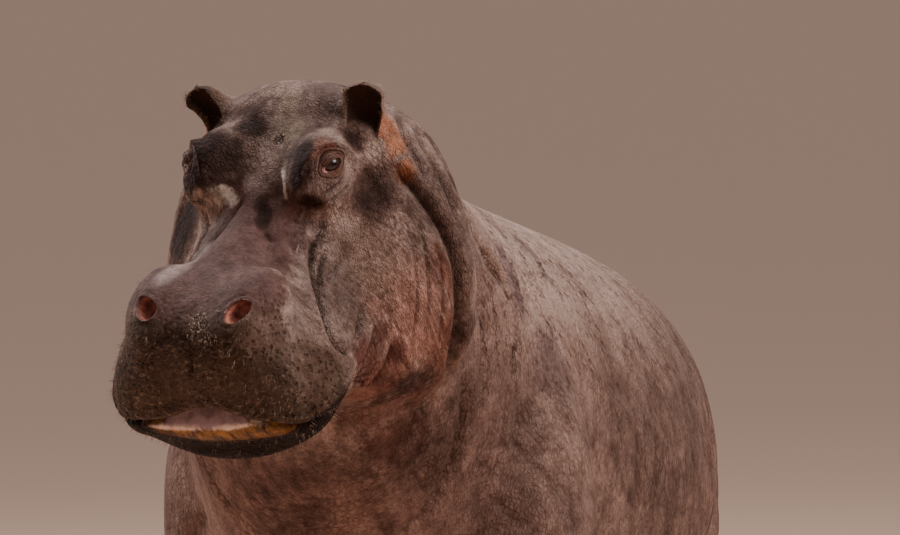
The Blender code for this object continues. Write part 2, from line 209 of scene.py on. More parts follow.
def put(shape, name):
    """Links a bmesh as a new object and frees it."""
    bmesh.ops.recalc_face_normals(shape, faces=shape.faces)
    mesh = bpy.data.meshes.new(name)
    shape.to_mesh(mesh)
    shape.free()
    made = bpy.data.objects.new(name, mesh)
    bpy.context.scene.collection.objects.link(made)
    return made


def fuse(thing, voxel, rounds):
    """Welds overlapping shells into one skin and relaxes it."""
    remesh = thing.modifiers.new("fuse", "REMESH")
    remesh.mode = "VOXEL"
    remesh.voxel_size = voxel
    relax = thing.modifiers.new("relax", "SMOOTH")
    relax.factor = 0.5
    relax.iterations = rounds
    graph = bpy.context.evaluated_depsgraph_get()
    bpy.context.view_layer.update()
    mesh = bpy.data.meshes.new_from_object(thing.evaluated_get(graph))
    thing.modifiers.clear()
    thing.data = mesh


print("helpers ready")

# %% [markdown]
# ### Trunk and neck
#
# The barrel is widest behind the ribs and hangs low between the legs. Each row is one cross section from
# rump to nape, in millimetres: y, the x of its middle, the heights of back, widest point and belly, and the
# half width.

# %% Cross sections of the trunk
TRUNK = mm((
    (1800, 0, 900, 790, 680, 80),
    (1750, 0, 1000, 780, 560, 220),
    (1620, 0, 1085, 750, 430, 340),
    (1380, 0, 1155, 720, 300, 425),
    (1080, 0, 1215, 720, 230, 485),
    (730, 0, 1270, 750, 215, 505),
    (380, 0, 1325, 800, 260, 475),
    (50, 0, 1380, 880, 350, 425),
    (-200, 0, 1440, 980, 435, 370),
    (-400, 0, 1520, 1100, 575, 335),
    (-600, 5, 1595, 1210, 760, 303),
    (-780, 20, 1560, 1240, 915, 240),
))


def trunk(shape):
    loft(shape, [section(BODY, *row, 2.1, 2.1, 40) for row in smooth_rows(TRUNK, 4)])


print("trunk:", len(TRUNK), "sections")


# %% [markdown]
# ### Skull, lip pads and mounds
#
# The head is a wedge with a narrow roof-shaped bridge between two bulks: deep jowls behind, and a square
# muzzle in front. Rows run from nape to lips in the head's frame: y, the heights of top, widest point and
# throat, the half width, and how square the upper and the lower half are.

# %% Cross sections of the head
SKULL = (
    (0.300, -0.060, -0.230, -0.460, 0.205, 2.0, 2.0),
    (0.210, 0.028, -0.265, -0.570, 0.268, 2.0, 2.2),
    (0.120, 0.028, -0.315, -0.635, 0.310, 1.8, 2.3),
    (0.030, -0.005, -0.335, -0.660, 0.312, 1.60, 2.4),
    (-0.060, -0.018, -0.330, -0.620, 0.285, 1.35, 2.4),
    (-0.150, -0.022, -0.290, -0.535, 0.236, 1.25, 2.4),
    (-0.240, -0.022, -0.245, -0.445, 0.210, 1.50, 2.4),
    (-0.330, -0.018, -0.235, -0.392, 0.222, 2.1, 2.6),
    (-0.410, -0.012, -0.243, -0.375, 0.226, 1.90, 2.6),
    (-0.470, -0.042, -0.225, -0.345, 0.208, 2.00, 2.5),
    (-0.505, -0.095, -0.210, -0.290, 0.142, 2.10, 2.2),
    (-0.518, -0.140, -0.185, -0.230, 0.060, 2.00, 2.0),
)


def skull(shape):
    loft(shape, [section(HEAD, y, 0, *rest, 48) for y, *rest in smooth_rows(SKULL, 4)])
    both(shape, (0.129, -0.368, -0.248), (0.128, 0.140, 0.086))  # lip pads


def mounds(shape):
    both(shape, (0.111, 0.020, -0.044), (0.067, 0.108, 0.080), 6)  # round the eyes
    both(shape, (0.094, -0.368, -0.066), (0.072, 0.125, 0.066), -6)  # round the nostrils


print("skull:", len(SKULL), "sections")


# %% [markdown]
# ### Legs, toes and tail
#
# The legs are short columns on broad feet with four spread toes. They are modelled a little too deep and
# cut off flat at the ground, so that the animal stands on real soles. The tail is a short flattened whip.
# Rows of a leg are x, y, z, half width and half length; those of the tail are y, z and radius.

# %% Cross sections of legs and tail
FORELEG = mm((
    (260, 20, 1080, 110, 190),
    (310, 0, 820, 150, 215),
    (315, -10, 570, 150, 185),
    (300, -10, 360, 122, 142),
    (292, -15, 210, 110, 120),
    (292, -30, 110, 122, 132),
    (292, -40, 45, 138, 146),
    (292, -40, -30, 138, 146),
))
HINDLEG = mm((
    (180, 1380, 980, 110, 230),
    (245, 1340, 760, 165, 270),
    (275, 1330, 540, 155, 215),
    (275, 1390, 350, 118, 142),
    (270, 1410, 220, 98, 110),
    (270, 1385, 120, 106, 120),
    (270, 1365, 45, 124, 136),
    (270, 1365, -30, 124, 136),
))
LEGS = (  # name, rows, side, stride
    ("fore_left", FORELEG, 1, -0.07),
    ("fore_right", FORELEG, -1, 0.05),
    ("hind_left", HINDLEG, 1, 0.05),
    ("hind_right", HINDLEG, -1, -0.06),
)
TOE_ANGLES = (-64.0, -22.0, 22.0, 64.0)
TAIL = mm((
    (1660, 980, 70),
    (1760, 950, 56),
    (1822, 870, 42),
    (1846, 770, 31),
    (1852, 670, 24),
    (1850, 580, 17),
))


def leg(shape, rows, side, stride):
    rings = []
    for x, y, z, half_width, half_length in smooth_rows(rows, 4):
        turns = (2 * math.pi * i / 24 for i in range(24))
        rings.append([
            BODY @ Vector((side * (x + half_width * math.cos(t)), y + stride + half_length * math.sin(t), z))
            for t in turns
        ])
    loft(shape, rings)


def toe_places(rows, side, stride):
    """(middle, degrees) of each toe of a leg, from the outer one to the inner one, in the body's frame."""
    x, y, _, half_width, half_length = rows[-2]
    for degrees in TOE_ANGLES:
        angle = math.radians(degrees)
        ahead = Vector((math.sin(angle) * half_width, -math.cos(angle) * half_length, 0))
        middle = Vector((x, y + stride, 0.036)) + 0.82 * ahead
        yield Vector((side * middle.x, middle.y, middle.z)), degrees


def toes(shape, rows, side, stride):
    for middle, degrees in toe_places(rows, side, stride):
        ellipsoid(shape, BODY @ Matrix.Translation(middle), (0.046, 0.064, 0.052), side * degrees)


def tail(shape):
    rings = []
    rows = smooth_rows(TAIL, 4)
    for (y, z, radius), after in zip(rows, rows[1:] + rows[-1:]):
        heading = Vector((0, after[0] - y, after[1] - z))
        heading = heading.normalized() if heading.length > 0 else Vector((0, 0, -1))
        flat = Vector((1, 0, 0)).cross(heading)
        rings.append([
            BODY @ (Vector((radius * math.cos(t), y, z)) + flat * (1.15 * radius * math.sin(t)))
            for t in (2 * math.pi * i / 16 for i in range(16))
        ])
    loft(shape, rings)


print("legs:", len(LEGS), "of", len(FORELEG), "sections; tail:", len(TAIL))

# %% [markdown]
# ### Ears
#
# A hippopotamus has small round ears set high behind the eyes. Each starts as a thick leaf that the remesh
# can weld to the head; its hollow is pressed in later, when the skin there is fine enough to hold a rim.

# %% The two ears
EAR_RADII = (0.041, 0.030, 0.071)  # half width, half depth, half length
EARS = {  # name: (root, from root to tip, the way the hollow looks), in the head's frame
    "left": (Vector((0.148, 0.168, -0.050)), Vector((0.22, 0.02, 0.98)), Vector((0.34, -0.92, 0.20))),
    "right": (Vector((-0.148, 0.168, -0.050)), Vector((-0.56, -0.06, 0.82)), Vector((-0.34, -0.92, 0.20))),
}


def ear_axes(word):
    """A matrix whose x runs across an ear, y out of its hollow and z to its tip, in the row's frame."""
    root, aim, facing = EARS[word]
    aim = aim.normalized()
    wide = facing.cross(aim).normalized()
    middle = root + aim * (EAR_RADII[2] * 0.62)
    turn = Matrix((wide, aim.cross(wide), aim)).transposed().to_4x4()
    return HEAD @ Matrix.Translation(middle) @ turn


def ears(shape):
    swollen = [radius + 0.004 for radius in EAR_RADII]  # the relaxing takes this much off again
    for word in EARS:
        ellipsoid(shape, ear_axes(word), swollen)


print("ears point to", [tuple(round(v, 2) for v in aim) for _, aim, _ in EARS.values()])


# %% [markdown]
# ### One skin from many shells
#
# Trunk, skull and legs are fused first with wide cells and relaxed well, so that neck and shoulders flow into
# each other. Mounds, toes and tail join at a finer size, and the ears come last with the least relaxing,
# because their thin leaves would melt away. A Boolean union would keep hard seams between the shells.

# %% Fuse everything into one skin
shape = bmesh.new()
trunk(shape)
skull(shape)
for _, rows, side, stride in LEGS:
    leg(shape, rows, side, stride)
skin = put(shape, "skin")
fuse(skin, 0.018, 8)
for add_forms, voxel, rounds in ((True, 0.012, 8), (False, 0.016, 3)):
    shape = bmesh.new()
    shape.from_mesh(skin.data)
    if add_forms:
        mounds(shape)
        tail(shape)
        for _, rows, side, stride in LEGS:
            toes(shape, rows, side, stride)
    else:
        ears(shape)
    skin.data.clear_geometry()
    shape.to_mesh(skin.data)
    shape.free()
    fuse(skin, voxel, rounds)
print("skin before refining:", len(skin.data.polygons), "faces")


# %% [markdown]
# ## Finer mesh where the eye will look
#
# A sculptor adds clay where the detail goes. Here the same squares are split again and again inside ever
# smaller zones: head, neck and flanks first, then the face, then the rims of eyes, ears, nostrils and lips.
# Splitting only some edges keeps the back of the animal light. The map for baking is laid out first,
# while the mesh is small, and the splits carry it along.

# %% Unwrap, then refine by zones
def lay_out(thing):
    """A UV map over the piece's own shape."""
    for other in bpy.context.view_layer.objects:
        other.select_set(other == thing)
    bpy.context.view_layer.objects.active = thing
    thing.data.uv_layers.new(name="OFBake")
    bpy.ops.object.mode_set(mode="EDIT")
    bpy.ops.mesh.select_all(action="SELECT")
    bpy.ops.uv.smart_project(angle_limit=1.15, island_margin=0.002, scale_to_bounds=True)
    bpy.ops.object.mode_set(mode="OBJECT")


def in_frame(place, matrix):
    """Row-frame points as seen from another frame."""
    back = np.array(matrix.inverted())
    return place @ back[:3, :3].T + back[:3, 3]


def points_of(mesh):
    flat = np.empty(len(mesh.vertices) * 3)
    mesh.vertices.foreach_get("co", flat)
    return flat.reshape(-1, 3)


def links_of(mesh):
    flat = np.empty(len(mesh.edges) * 2, int)
    mesh.edges.foreach_get("vertices", flat)
    return flat.reshape(-1, 2)


def relaxed(place, links, weight, rounds):
    """Moves points towards the mean of their neighbours, as far as their weight says."""
    a, b = links[:, 0], links[:, 1]
    count = np.bincount(a, minlength=len(place)) + np.bincount(b, minlength=len(place))
    count = np.maximum(count, 1)[:, None]
    for _ in range(rounds):
        total = np.stack([
            np.bincount(a, place[b, i], len(place)) + np.bincount(b, place[a, i], len(place))
            for i in range(3)
        ], axis=1)
        place = place + (0.5 * weight)[:, None] * (total / count - place)
    return place


def distance(place, middle):
    return np.linalg.norm(place - np.array(middle), axis=1)


def near_pair(place, middle):
    """Distance to a point or to its mirror image, whichever is less."""
    x, y, z = middle
    return np.minimum(distance(place, (x, y, z)), distance(place, (-x, y, z)))


def show_side(head, body):  # what a viewer in front or beside the animal sees well
    ahead = (body[:, 1] < -0.25) & (body[:, 2] > 0.60)
    shoulder = (body[:, 2] > 0.80) & (body[:, 0] > 0.02) & (body[:, 1] < 0.30)
    return ahead | shoulder | (body[:, 2] < 0.09)


def face(head, body):
    return (head[:, 1] < 0.22) & (head[:, 2] > -0.45) & (body[:, 1] < -0.76)


def features(head, body):
    eyes = near_pair(head, (0.16, -0.005, 0.0)) < 0.072
    nostrils = near_pair(head, (0.096, -0.42, -0.01)) < 0.062
    lips = (head[:, 1] < -0.42) & (head[:, 2] > -0.31) & (head[:, 2] < -0.16)
    tips = np.zeros(len(head), bool)
    for word in EARS:
        tips |= distance(head, EARS[word][0] + EARS[word][1].normalized() * 0.060) < 0.072
    return eyes | nostrils | lips | tips


def rims(head, body):
    eyes = near_pair(head, (0.165, -0.010, 0.004)) < 0.040
    nostrils = near_pair(head, (0.096, -0.42, -0.005)) < 0.042
    return eyes | nostrils


lay_out(skin)
for zone in (show_side, face, features, rims):
    place = points_of(skin.data)
    inside = zone(in_frame(place, HEAD), in_frame(place, BODY))
    shape = bmesh.new()
    shape.from_mesh(skin.data)
    chosen = [edge for edge in shape.edges if inside[edge.verts[0].index] and inside[edge.verts[1].index]]
    bmesh.ops.subdivide_edges(shape, edges=chosen, cuts=1, use_grid_fill=True)
    shape.to_mesh(skin.data)
    shape.free()
    place = points_of(skin.data)
    inside = zone(in_frame(place, HEAD), in_frame(place, BODY))
    place = relaxed(place, links_of(skin.data), inside.astype(float), 3)
    skin.data.vertices.foreach_set("co", place.ravel())
    skin.data.update()
    print(zone.__name__, "->", len(skin.data.polygons), "faces")


# %% [markdown]
# ## Sculpting by numbers
#
# The skin's points are now plain arrays. A stroke follows a line laid on the skin and pushes the points
# beside it in or out by a profile: how far, at which distance left and right of the line. One tool makes
# creases, ridges, lips and rolls, and it leaves a mark behind, which the hide's material reads later.
# Every length that is handed to the clay is in millimetres.

# %% The clay and its stroke
def eased(value, low, high):
    """0 below low, 1 above high, and a soft step between."""
    t = np.clip((value - low) / (high - low), 0, 1)
    return t * t * (3 - 2 * t)


class Clay:
    """The skin's points, pushed about as arrays."""

    def __init__(self, mesh):
        self.mesh = mesh
        self.place = points_of(mesh)
        self.links = links_of(mesh)
        self.marks = {}
        self.settle()

    def settle(self):
        """Writes the points back, then reads normals and both frames again."""
        self.mesh.vertices.foreach_set("co", self.place.ravel())
        self.mesh.update()
        flat = np.empty(len(self.place) * 3)
        self.mesh.vertex_normals.foreach_get("vector", flat)
        self.normal = flat.reshape(-1, 3)
        self.head = in_frame(self.place, HEAD)
        self.body = in_frame(self.place, BODY)
        self.surface = BVHTree.FromPolygons(
            self.place.tolist(), [face.vertices for face in self.mesh.polygons])

    def mark(self, name, amount, where=slice(None)):
        """Keeps the strongest mark of that name at each point."""
        kept = self.marks.setdefault(name, np.zeros(len(self.place)))
        kept[where] = np.maximum(kept[where], amount)

    def stroke(self, frame, points, profile, taper=0.25, marks=(), mirror=1):
        """Pushes the skin along a line: profile holds (distance to the line's left, push outwards).

        marks holds (name, strength, width) of the bells that it leaves on the line.
        """
        spots, normals = [], []
        for x, y, z in smooth_rows(mm(points), 10):
            spot, normal, _, _ = self.surface.find_nearest(frame @ Vector((mirror * x, y, z)))
            spots.append(spot)
            normals.append(normal)
        spots, normals = np.array(spots), np.array(normals)
        ahead = np.gradient(spots, axis=0)
        ahead /= np.linalg.norm(ahead, axis=1)[:, None] + 1e-9
        left = np.cross(normals, ahead) * mirror
        across, push = np.array(mm(profile)).T
        reach = max(abs(across[0]), abs(across[-1]))
        low, high = spots.min(0) - reach, spots.max(0) + reach
        local = np.flatnonzero(((self.place > low) & (self.place < high)).all(1))
        nearest = np.empty(len(local), int)
        for part in np.array_split(np.arange(len(local)), max(1, len(local) // 20000)):
            gap = self.place[local[part], None, :] - spots[None, :, :]
            nearest[part] = (gap ** 2).sum(2).argmin(1)
        gap = self.place[local] - spots[nearest]
        side = (gap * left[nearest]).sum(1)
        beyond = np.abs((gap * ahead[nearest]).sum(1))
        sunk = np.abs((gap * normals[nearest]).sum(1))
        along = nearest / (len(spots) - 1)
        fade = eased(along, 0, taper) * eased(1 - along, 0, taper) if taper > 0 else np.ones(len(local))
        fade *= 1 - eased(beyond, 0.3 * reach + 0.004, reach + 0.004)
        fade *= 1 - eased(sunk, 0.06, 0.10)
        fade *= (self.normal[local] * normals[nearest]).sum(1) > -0.2
        shift = np.interp(side, across, push, 0, 0) * fade
        self.place[local] += self.normal[local] * shift[:, None]
        for name, strength, width in marks:
            self.mark(name, fade * strength * np.exp(-(side / mm(width)) ** 2), local)

    def both_strokes(self, points, profile, frame=HEAD, **how):
        for mirror in (1, -1):
            self.stroke(frame, points, profile, mirror=mirror, **how)

    def bell(self, centre, radii, frame, side, core):
        """1 round a point or its mirror image, easing to 0 at the radii."""
        x, y, z = mm(centre)
        place = self.head if frame == "head" else self.body
        far = np.linalg.norm((place - (side * x, y, z)) / mm(np.array(radii)), axis=1)
        return 1 - eased(far, core, 1.0)

    def blob(self, name, centre, radii, strength, mirror, core, frame="head"):
        """A soft patch of a mark around a point."""
        for side in mirror:
            self.mark(name, strength * self.bell(centre, radii, frame, side, core))

    def swell(self, centre, radii, height, mirror=(1, -1)):
        """Raises a soft mound round a point of the head, or sinks a hollow when the height is below zero."""
        for side in mirror:
            self.place += self.normal * (mm(height) * self.bell(centre, radii, "head", side, 0.0))[:, None]

    def wrinkle(self, where, frame, spacing, depth, seed, width=0.16):
        """Sinks furrows along the zero lines of a noise that is drawn out by its spacing on each axis."""
        local = np.flatnonzero(where > 0.02)
        place = (self.head if frame == "head" else self.body)[local]
        drawn = place / np.array(mm(spacing)) + seed
        bent = np.array([noise.noise_vector(spot * 0.35) for spot in map(Vector, drawn)])
        value = np.array([noise.noise(spot) for spot in map(Vector, drawn + 0.8 * bent)])
        furrow = np.clip(1 - np.abs(value) / width, 0, 1) ** 1.5
        deep = mm(depth) * where[local] * np.clip(0.6 + 1.2 * bent[:, 0], 0.1, 1.3)
        self.place[local] -= self.normal[local] * (deep * furrow)[:, None]
        self.mark("furrow", np.clip(furrow * deep / mm(depth), 0, 1), local)

    def write_marks(self):
        for name, amount in self.marks.items():
            made = self.mesh.attributes.new(name, "FLOAT", "POINT")
            made.data.foreach_set("value", np.clip(amount, 0, 1).astype(np.float32))
        made = self.mesh.attributes.new("face_place", "FLOAT_VECTOR", "POINT")
        made.data.foreach_set("vector", self.head.astype(np.float32).ravel())


def crease(depth, width, shoulder=0.4):
    """A valley between two soft shoulders."""
    return (
        (-5 * width, 0), (-3.4 * width, 0.6 * shoulder * depth), (-2 * width, shoulder * depth),
        (-width, -0.05 * depth), (-0.5 * width, -0.6 * depth), (0, -depth), (0.5 * width, -0.6 * depth),
        (width, -0.05 * depth), (2 * width, shoulder * depth), (3.4 * width, 0.6 * shoulder * depth),
        (5 * width, 0),
    )


def lapped(depth, width, swell):
    """A fold whose left side rolls over the right one."""
    return (
        (-7 * width, 0), (-4 * width, -0.25 * depth), (-1.5 * width, -0.75 * depth), (0, -depth),
        (0.5 * width, -0.35 * depth), (1.3 * width, 0.5 * swell), (3 * width, swell),
        (6 * width, 0.6 * swell), (10 * width, 0),
    )


def ridge(height, width):
    """A soft bead with a shallow dip on either side."""
    return (
        (-4 * width, 0), (-2 * width, -0.25 * height), (-width, 0.2 * height), (0, height),
        (width, 0.2 * height), (2 * width, -0.25 * height), (4 * width, 0),
    )


clay = Clay(skin.data)
print("clay:", len(clay.place), "points")


# %% [markdown]
# ### Mouth
#
# The upper lip hangs over the lower one in a shallow arch. The line of the mouth runs across the front, under
# the pads at the corners, and up behind them to meet the crease between muzzle and cheek. Above the line the
# profile swells into a lip; below it the skin drops back steeply and comes out again as the lower lip.

# %% Lips
LIP_LINE = (  # the upper lip's edge, from far corner to near corner
    (-252, -380, -276), (-232, -430, -268), (-195, -475, -250), (-150, -500, -233),
    (-100, -512, -221), (-50, -517, -203), (0, -517, -180), (35, -517, -177),
    (65, -516, -188), (100, -512, -209), (150, -500, -227), (195, -475, -249), (232, -430, -270),
    (252, -380, -276),
)
LIP_CORNER = (
    (195, -475, -248), (232, -430, -270), (252, -380, -276), (250, -325, -270),
    (236, -280, -255), (214, -248, -272),
)
SIDE_LIP = (
    (-70, 0), (-40, -4), (-20, -12), (-6, -20), (0, -22), (6, -8),
    (14, 3), (30, 4), (50, 0),
)
LOWER_LIP_TOP = ((-200, -262), (-120, -236), (50, -226), (110, -218), (160, -230), (200, -252))
LOWER_LIP_FOOT = ((-165, -228), (-100, -256), (-15, -274), (71, -272), (150, -262),
                  (215, -242))


def mouth():
    clay.swell((0, -465, -345), (200, 85, 60), 16, mirror=(1,))  # the chin
    clay.settle()
    x, y, z = clay.head.T
    lip = np.interp(x, *np.array(mm([at[::2] for at in LIP_LINE])).T)
    front = eased(-y, 0.395, 0.445) * (1 - eased(np.abs(x), 0.190, 0.228)) * (clay.normal @ FORWARD > 0.1)
    top = np.interp(x, *np.array(mm(LOWER_LIP_TOP)).T)
    gap = np.maximum(lip - top, 0)
    below = (lip - z) / np.maximum(gap, 0.012)
    deep = np.clip(0.010 + 0.62 * gap, 0.010, 0.050)
    sunk = deep * eased(lip - z, -0.002, 0.004) * (1 - eased(below, 0.25, 1.15))
    pout = 0.005 * np.exp(-((z - top + 0.022) / 0.022) ** 2) * (z < lip)
    bead = 0.005 * np.exp(-((z - lip - 0.014) / 0.012) ** 2)
    clay.place += clay.normal * (front * (pout + bead - sunk))[:, None]
    under = front * (z < lip - 0.001)
    foot = np.interp(x, *np.array(mm(LOWER_LIP_FOOT)).T)
    ends = 1 - eased(np.abs(x - 0.022), 0.178, 0.212)
    clay.mark("amber", under * ends * (1 - eased(foot - z, -0.005, 0.006)) * (z < top + 0.006))
    clay.mark("amber_foot", under * (1 - eased(z - foot, -0.002, 0.024)))
    clay.mark("gum", under * eased(z - top, -0.016, 0.002) * (1 - eased(np.abs(x - 0.005), 0.075, 0.110)))
    middle = 1 - eased(np.abs(x - 0.005), 0.10, 0.16)
    # a painted highlight along the top of the lower lip
    clay.mark("lip_edge_highlight", under * np.exp(-((z - top + 0.005) / 0.008) ** 2) * middle)
    clay.mark("crease", front * np.exp(-((z - lip + 0.002) / 0.003) ** 2))
    # painted shade: the skin under the lower lip is marked, and the hide colours it nearly black
    clay.mark("chin", eased(-y, 0.33, 0.40) * eased(foot - z, -0.002, 0.012))


FORWARD = np.array(HEAD.to_3x3() @ Vector((0, -1, 0)))
mouth()
clay.settle()
clay.both_strokes(LIP_CORNER, SIDE_LIP, taper=0.2, marks=[("crease", 0.8, 6)])
clay.settle()
print("mouth formed")

# %% [markdown]
# ### Creases of the face
#
# Each line is given by a few points in the head's frame. The muzzle is a heavy bag of muscle, so behind it
# the cheek folds under in a bundle of creases that start below the eye and run down to the lips.

# %% Muzzle, cheek and bridge
def creases(rows, frame=HEAD, shoulder=0.4, taper=0.25):
    """Creases on both sides: each row is depth, width, the mark's strength and width, then the path."""
    for depth, width, strength, wide, *path in rows:
        clay.both_strokes(path, crease(depth, width, shoulder), frame, taper=taper,
                          marks=[("crease", strength, wide)])


clay.swell((197, 40, -105), (60, 65, 60), -13)  # the hollow behind the eye
clay.swell((108, -78, -68), (62, 54, 60), -20)  # and the one in front of it
clay.swell((230, -50, -250), (90, 110, 150), 10)  # the cheek's muscle
clay.swell((0, 90, 30), (60, 110, 60), -8, mirror=(1,))  # between the brows
clay.settle()
creases((  # behind the muzzle, from under the eye to the corner of the mouth
    (13, 9, 0.7, 5, (143, -66, -72), (122, -119, -112), (127, -152, -124), (143, -190, -137),
     (161, -222, -149), (187, -263, -158), (214, -299, -173), (232, -311, -196), (236, -292, -232),
     (212, -250, -268)),
), taper=0.12)
creases((
    # two short folds inside the first, and a long roll beside the muzzle
    (8, 6, 0.7, 4, (139, -113, -130), (141, -160, -140), (156, -200, -150)),
    (7, 8, 0.4, 6, (171, -93, -157), (156, -146, -157), (160, -183, -161)),
    (8, 11, 0.4, 6, (205, -150, -226), (210, -188, -244), (211, -222, -261), (216, -261, -258)),
    # low on the cheek, behind the corner of the mouth
    (7, 8, 0.6, 5, (235, -145, -341), (214, -166, -385), (190, -185, -408), (166, -201, -421)),
    (5, 6, 0.5, 4, (224, -162, -273), (219, -188, -297), (210, -213, -317), (200, -234, -330)),
))
creases(  # short wrinkles that fan out below the corner of the mouth
    (4, 5, 0.5, 3,
     (226 - 0.5 * low, -300 + 0.3 * low, -300 - 0.3 * low),
     (214 - 0.6 * low, -262 + 0.5 * low, -318 - 0.7 * low),
     (212 - 0.7 * low, -225 + 0.7 * low, -318 - 1.1 * low))
    for low in (0, 22, 44, 66))
clay.both_strokes(  # the bridge's edge, from brow to muzzle
    ((52, -20, -12), (70, -60, -22), (76, -110, -40), (86, -160, -62), (104, -215, -80), (120, -260, -80)),
    ((-50, 0), (-25, -4), (-12, 1), (0, 5), (12, 4), (30, 0)))
clay.stroke(  # the groove between the nostrils, which parts the upper lip
    HEAD, ((8, -440, -30), (13, -475, -65), (14, -495, -95), (12, -503, -120)),
    crease(6, 5, 0.3), taper=0.6, marks=[("crease", 0.9, 2.2)])
clay.stroke(  # a wet ridge inside the near brow, with a painted highlight streak along it
    HEAD, ((46, -6, -9), (50, -18, -12), (63, -43, -16), (68, -62, -32), (74, -76, -42)),
    ridge(4, 6), taper=0.3, marks=[("streak", 1.0, 8.5)])
# painted highlight: the mark laid here is coloured pale lilac as a wet shine, and also gets a coat
clay.stroke(  # a wet shine along the bridge's far edge and over the muzzle
    HEAD, ((-72, -150, -60), (-73, -190, -64), (-75, -250, -50), (-80, -310, -15), (-90, -350, -6),
           (-110, -380, -10)),
    ((-100, 0), (100, 0)), taper=0.3, marks=[("wet", 1.0, 22)])
clay.stroke(  # wet light along the bridge's near edge
    HEAD, ((101, -123, -95), (103, -154, -99), (106, -183, -99)),
    ridge(2, 4), taper=0.4, marks=[("streak", 0.5, 3)])
clay.settle()
print("face creased on", int((clay.marks["crease"] > 0.3).sum()), "points")

# %% [markdown]
# ### Folds of jowl, neck and shoulder
#
# The jowl is a heavy bag that laps over the neck, so its edge is a step and not a valley: one side rolls over
# the other. Behind it the neck gathers in slanting folds, and thin lines run round the eye and down the
# cheek. Drawing them as strokes keeps each one where an animal of this build creases.

# %% Jowl, neck and shoulder folds
clay.both_strokes(  # the jowl laps over the neck
    ((205, 120, -85), (229, 108, -114), (250, 104, -142), (270, 98, -178), (288, 92, -215), (300, 86, -251),
     (309, 78, -289), (314, 66, -335), (314, 45, -385), (305, 25, -440), (285, 5, -500), (252, -5, -560)),
    lapped(26, 10, 4), taper=0.15, marks=[("crease", 0.6, 5)])
creases((  # folds of the neck that run down behind the jowl
    (7, 10, 0.4, 6, (186, 255, -102), (236, 200, -122), (270, 168, -171), (292, 140, -223), (308, 112, -275)),
    (6, 7, 0.4, 6, (171, 230, -72), (211, 180, -85), (240, 148, -120), (262, 125, -160)),
    (8, 12, 0.4, 6, (150, 290, -90), (222, 250, -150), (262, 220, -215), (290, 190, -290), (300, 170, -370)),
))
creases((  # the rolls in front of the shoulder
    (13, 14, 0.5, 8, (255, -480, 1370), (305, -460, 1308), (318, -426, 1256), (327, -381, 1219),
     (338, -322, 1170), (348, -290, 1117), (348, -300, 1059), (343, -323, 980)),
    (11, 14, 0.4, 8, (270, -560, 1340), (318, -530, 1250), (322, -500, 1172), (322, -469, 1109),
     (316, -460, 1020), (300, -450, 930)),
), BODY, taper=0.2)
creases((  # thin lines: under the eye, and down the cheek
    (6, 3.2, 0.45, 3.2, (175, 22, -45), (174, -9, -52), (163, -47, -49), (139, -73, -52), (108, -84, -62)),
    (4.5, 2.4, 0.45, 2.4, (173, 2, -27), (169, -28, -29), (157, -54, -27), (142, -70, -26)),
    (6, 3.6, 0.45, 3.6, (181, 30, -60), (183, -10, -72), (170, -55, -75), (150, -85, -80)),
    (4.5, 2.6, 0.45, 2.6, (178, 26, -52), (178, -10, -62), (167, -50, -62), (146, -80, -66)),
    (3, 4, 0.45, 4, (246, 38, -171), (260, -5, -224), (269, -55, -284), (261, -99, -351), (232, -120, -427)),
    (4, 4.5, 0.45, 4.5, (263, 56, -186), (277, 14, -241), (283, -36, -301), (273, -77, -371)),
    (3.5, 4.5, 0.45, 4.5, (281, 67, -214), (295, 31, -269), (298, -9, -326), (287, -43, -389),
     (265, -63, -452)),
))
creases((  # the dimple on the bridge
    (5, 9, 0.25, 10, (24, -67, -30), (32, -114, -40), (51, -156, -54), (76, -163, -73)),
), shoulder=0.2)
clay.settle()
print("creases now mark", int((clay.marks["crease"] > 0.3).sum()), "points")

# %% [markdown]
# ### Folds of the body
#
# Fat skin folds wherever a limb swings: behind the elbow, before the thigh, under the tail and round the
# ankles. The shoulder blade pulls the skin above it into short deep wrinkles. These are the same strokes, in
# the level frame, and most are laid on both sides.

# %% Body folds
creases((  # measured from the ground under the withers
    (16, 18, 0.4, 7.2, (240, -760, 1180), (262, -700, 1080), (230, -640, 960), (120, -620, 880)),
    (14, 18, 0.4, 7.2, (290, -560, 1060), (285, -500, 950), (220, -460, 800), (100, -440, 700)),
    (14, 22, 0.4, 8.8, (400, -20, 900), (420, 80, 760), (400, 130, 620), (340, 150, 480)),
    (6, 16, 0.4, 6.4, (300, -250, 780), (390, -180, 640), (420, -20, 560), (400, 110, 500)),
    (16, 24, 0.4, 9.6, (440, 1080, 860), (430, 1120, 680), (400, 1130, 520), (320, 1120, 400)),
    (7, 16, 0.4, 6.4, (410, 1230, 560), (400, 1340, 520), (360, 1470, 520), (280, 1560, 540)),
    (22, 22, 0.4, 8.8, (20, 1780, 880), (30, 1780, 780), (30, 1740, 660), (20, 1640, 520)),
), BODY, shoulder=0.3, taper=0.3)
creases((  # wrinkles over the shoulder blade
    (17, 7.5, 0.95, 3.375, (266, -124, 1299), (316, -217, 1235), (344, -244, 1159), (352, -250, 1090)),
    (17, 7.5, 0.95, 3.375, (290, -390, 1340), (314, -420, 1280), (324, -377, 1233), (343, -314, 1143),
     (350, -305, 1064), (360, -310, 960)),
    (12, 7, 0.95, 3.15, (318, -489, 1247), (327, -438, 1188), (333, -407, 1116), (340, -400, 1040)),
    (9, 5, 0.95, 2.25, (290, -290, 1310), (318, -300, 1240), (335, -290, 1190)),
    (9, 6, 0.95, 2.7, (300, -30, 1250), (340, -90, 1190), (360, -130, 1110)),
), BODY, shoulder=0.6, taper=0.35)
for shift in (0, 20):  # an old scar on the left flank
    clay.stroke(
        BODY, ((319, 26 + shift, 1222), (334, 13 + shift, 1200), (349, 2 + 0.3 * shift, 1174)),
        ridge(10, 5.5), taper=0.3, marks=[("crease", 0.9, 3)])
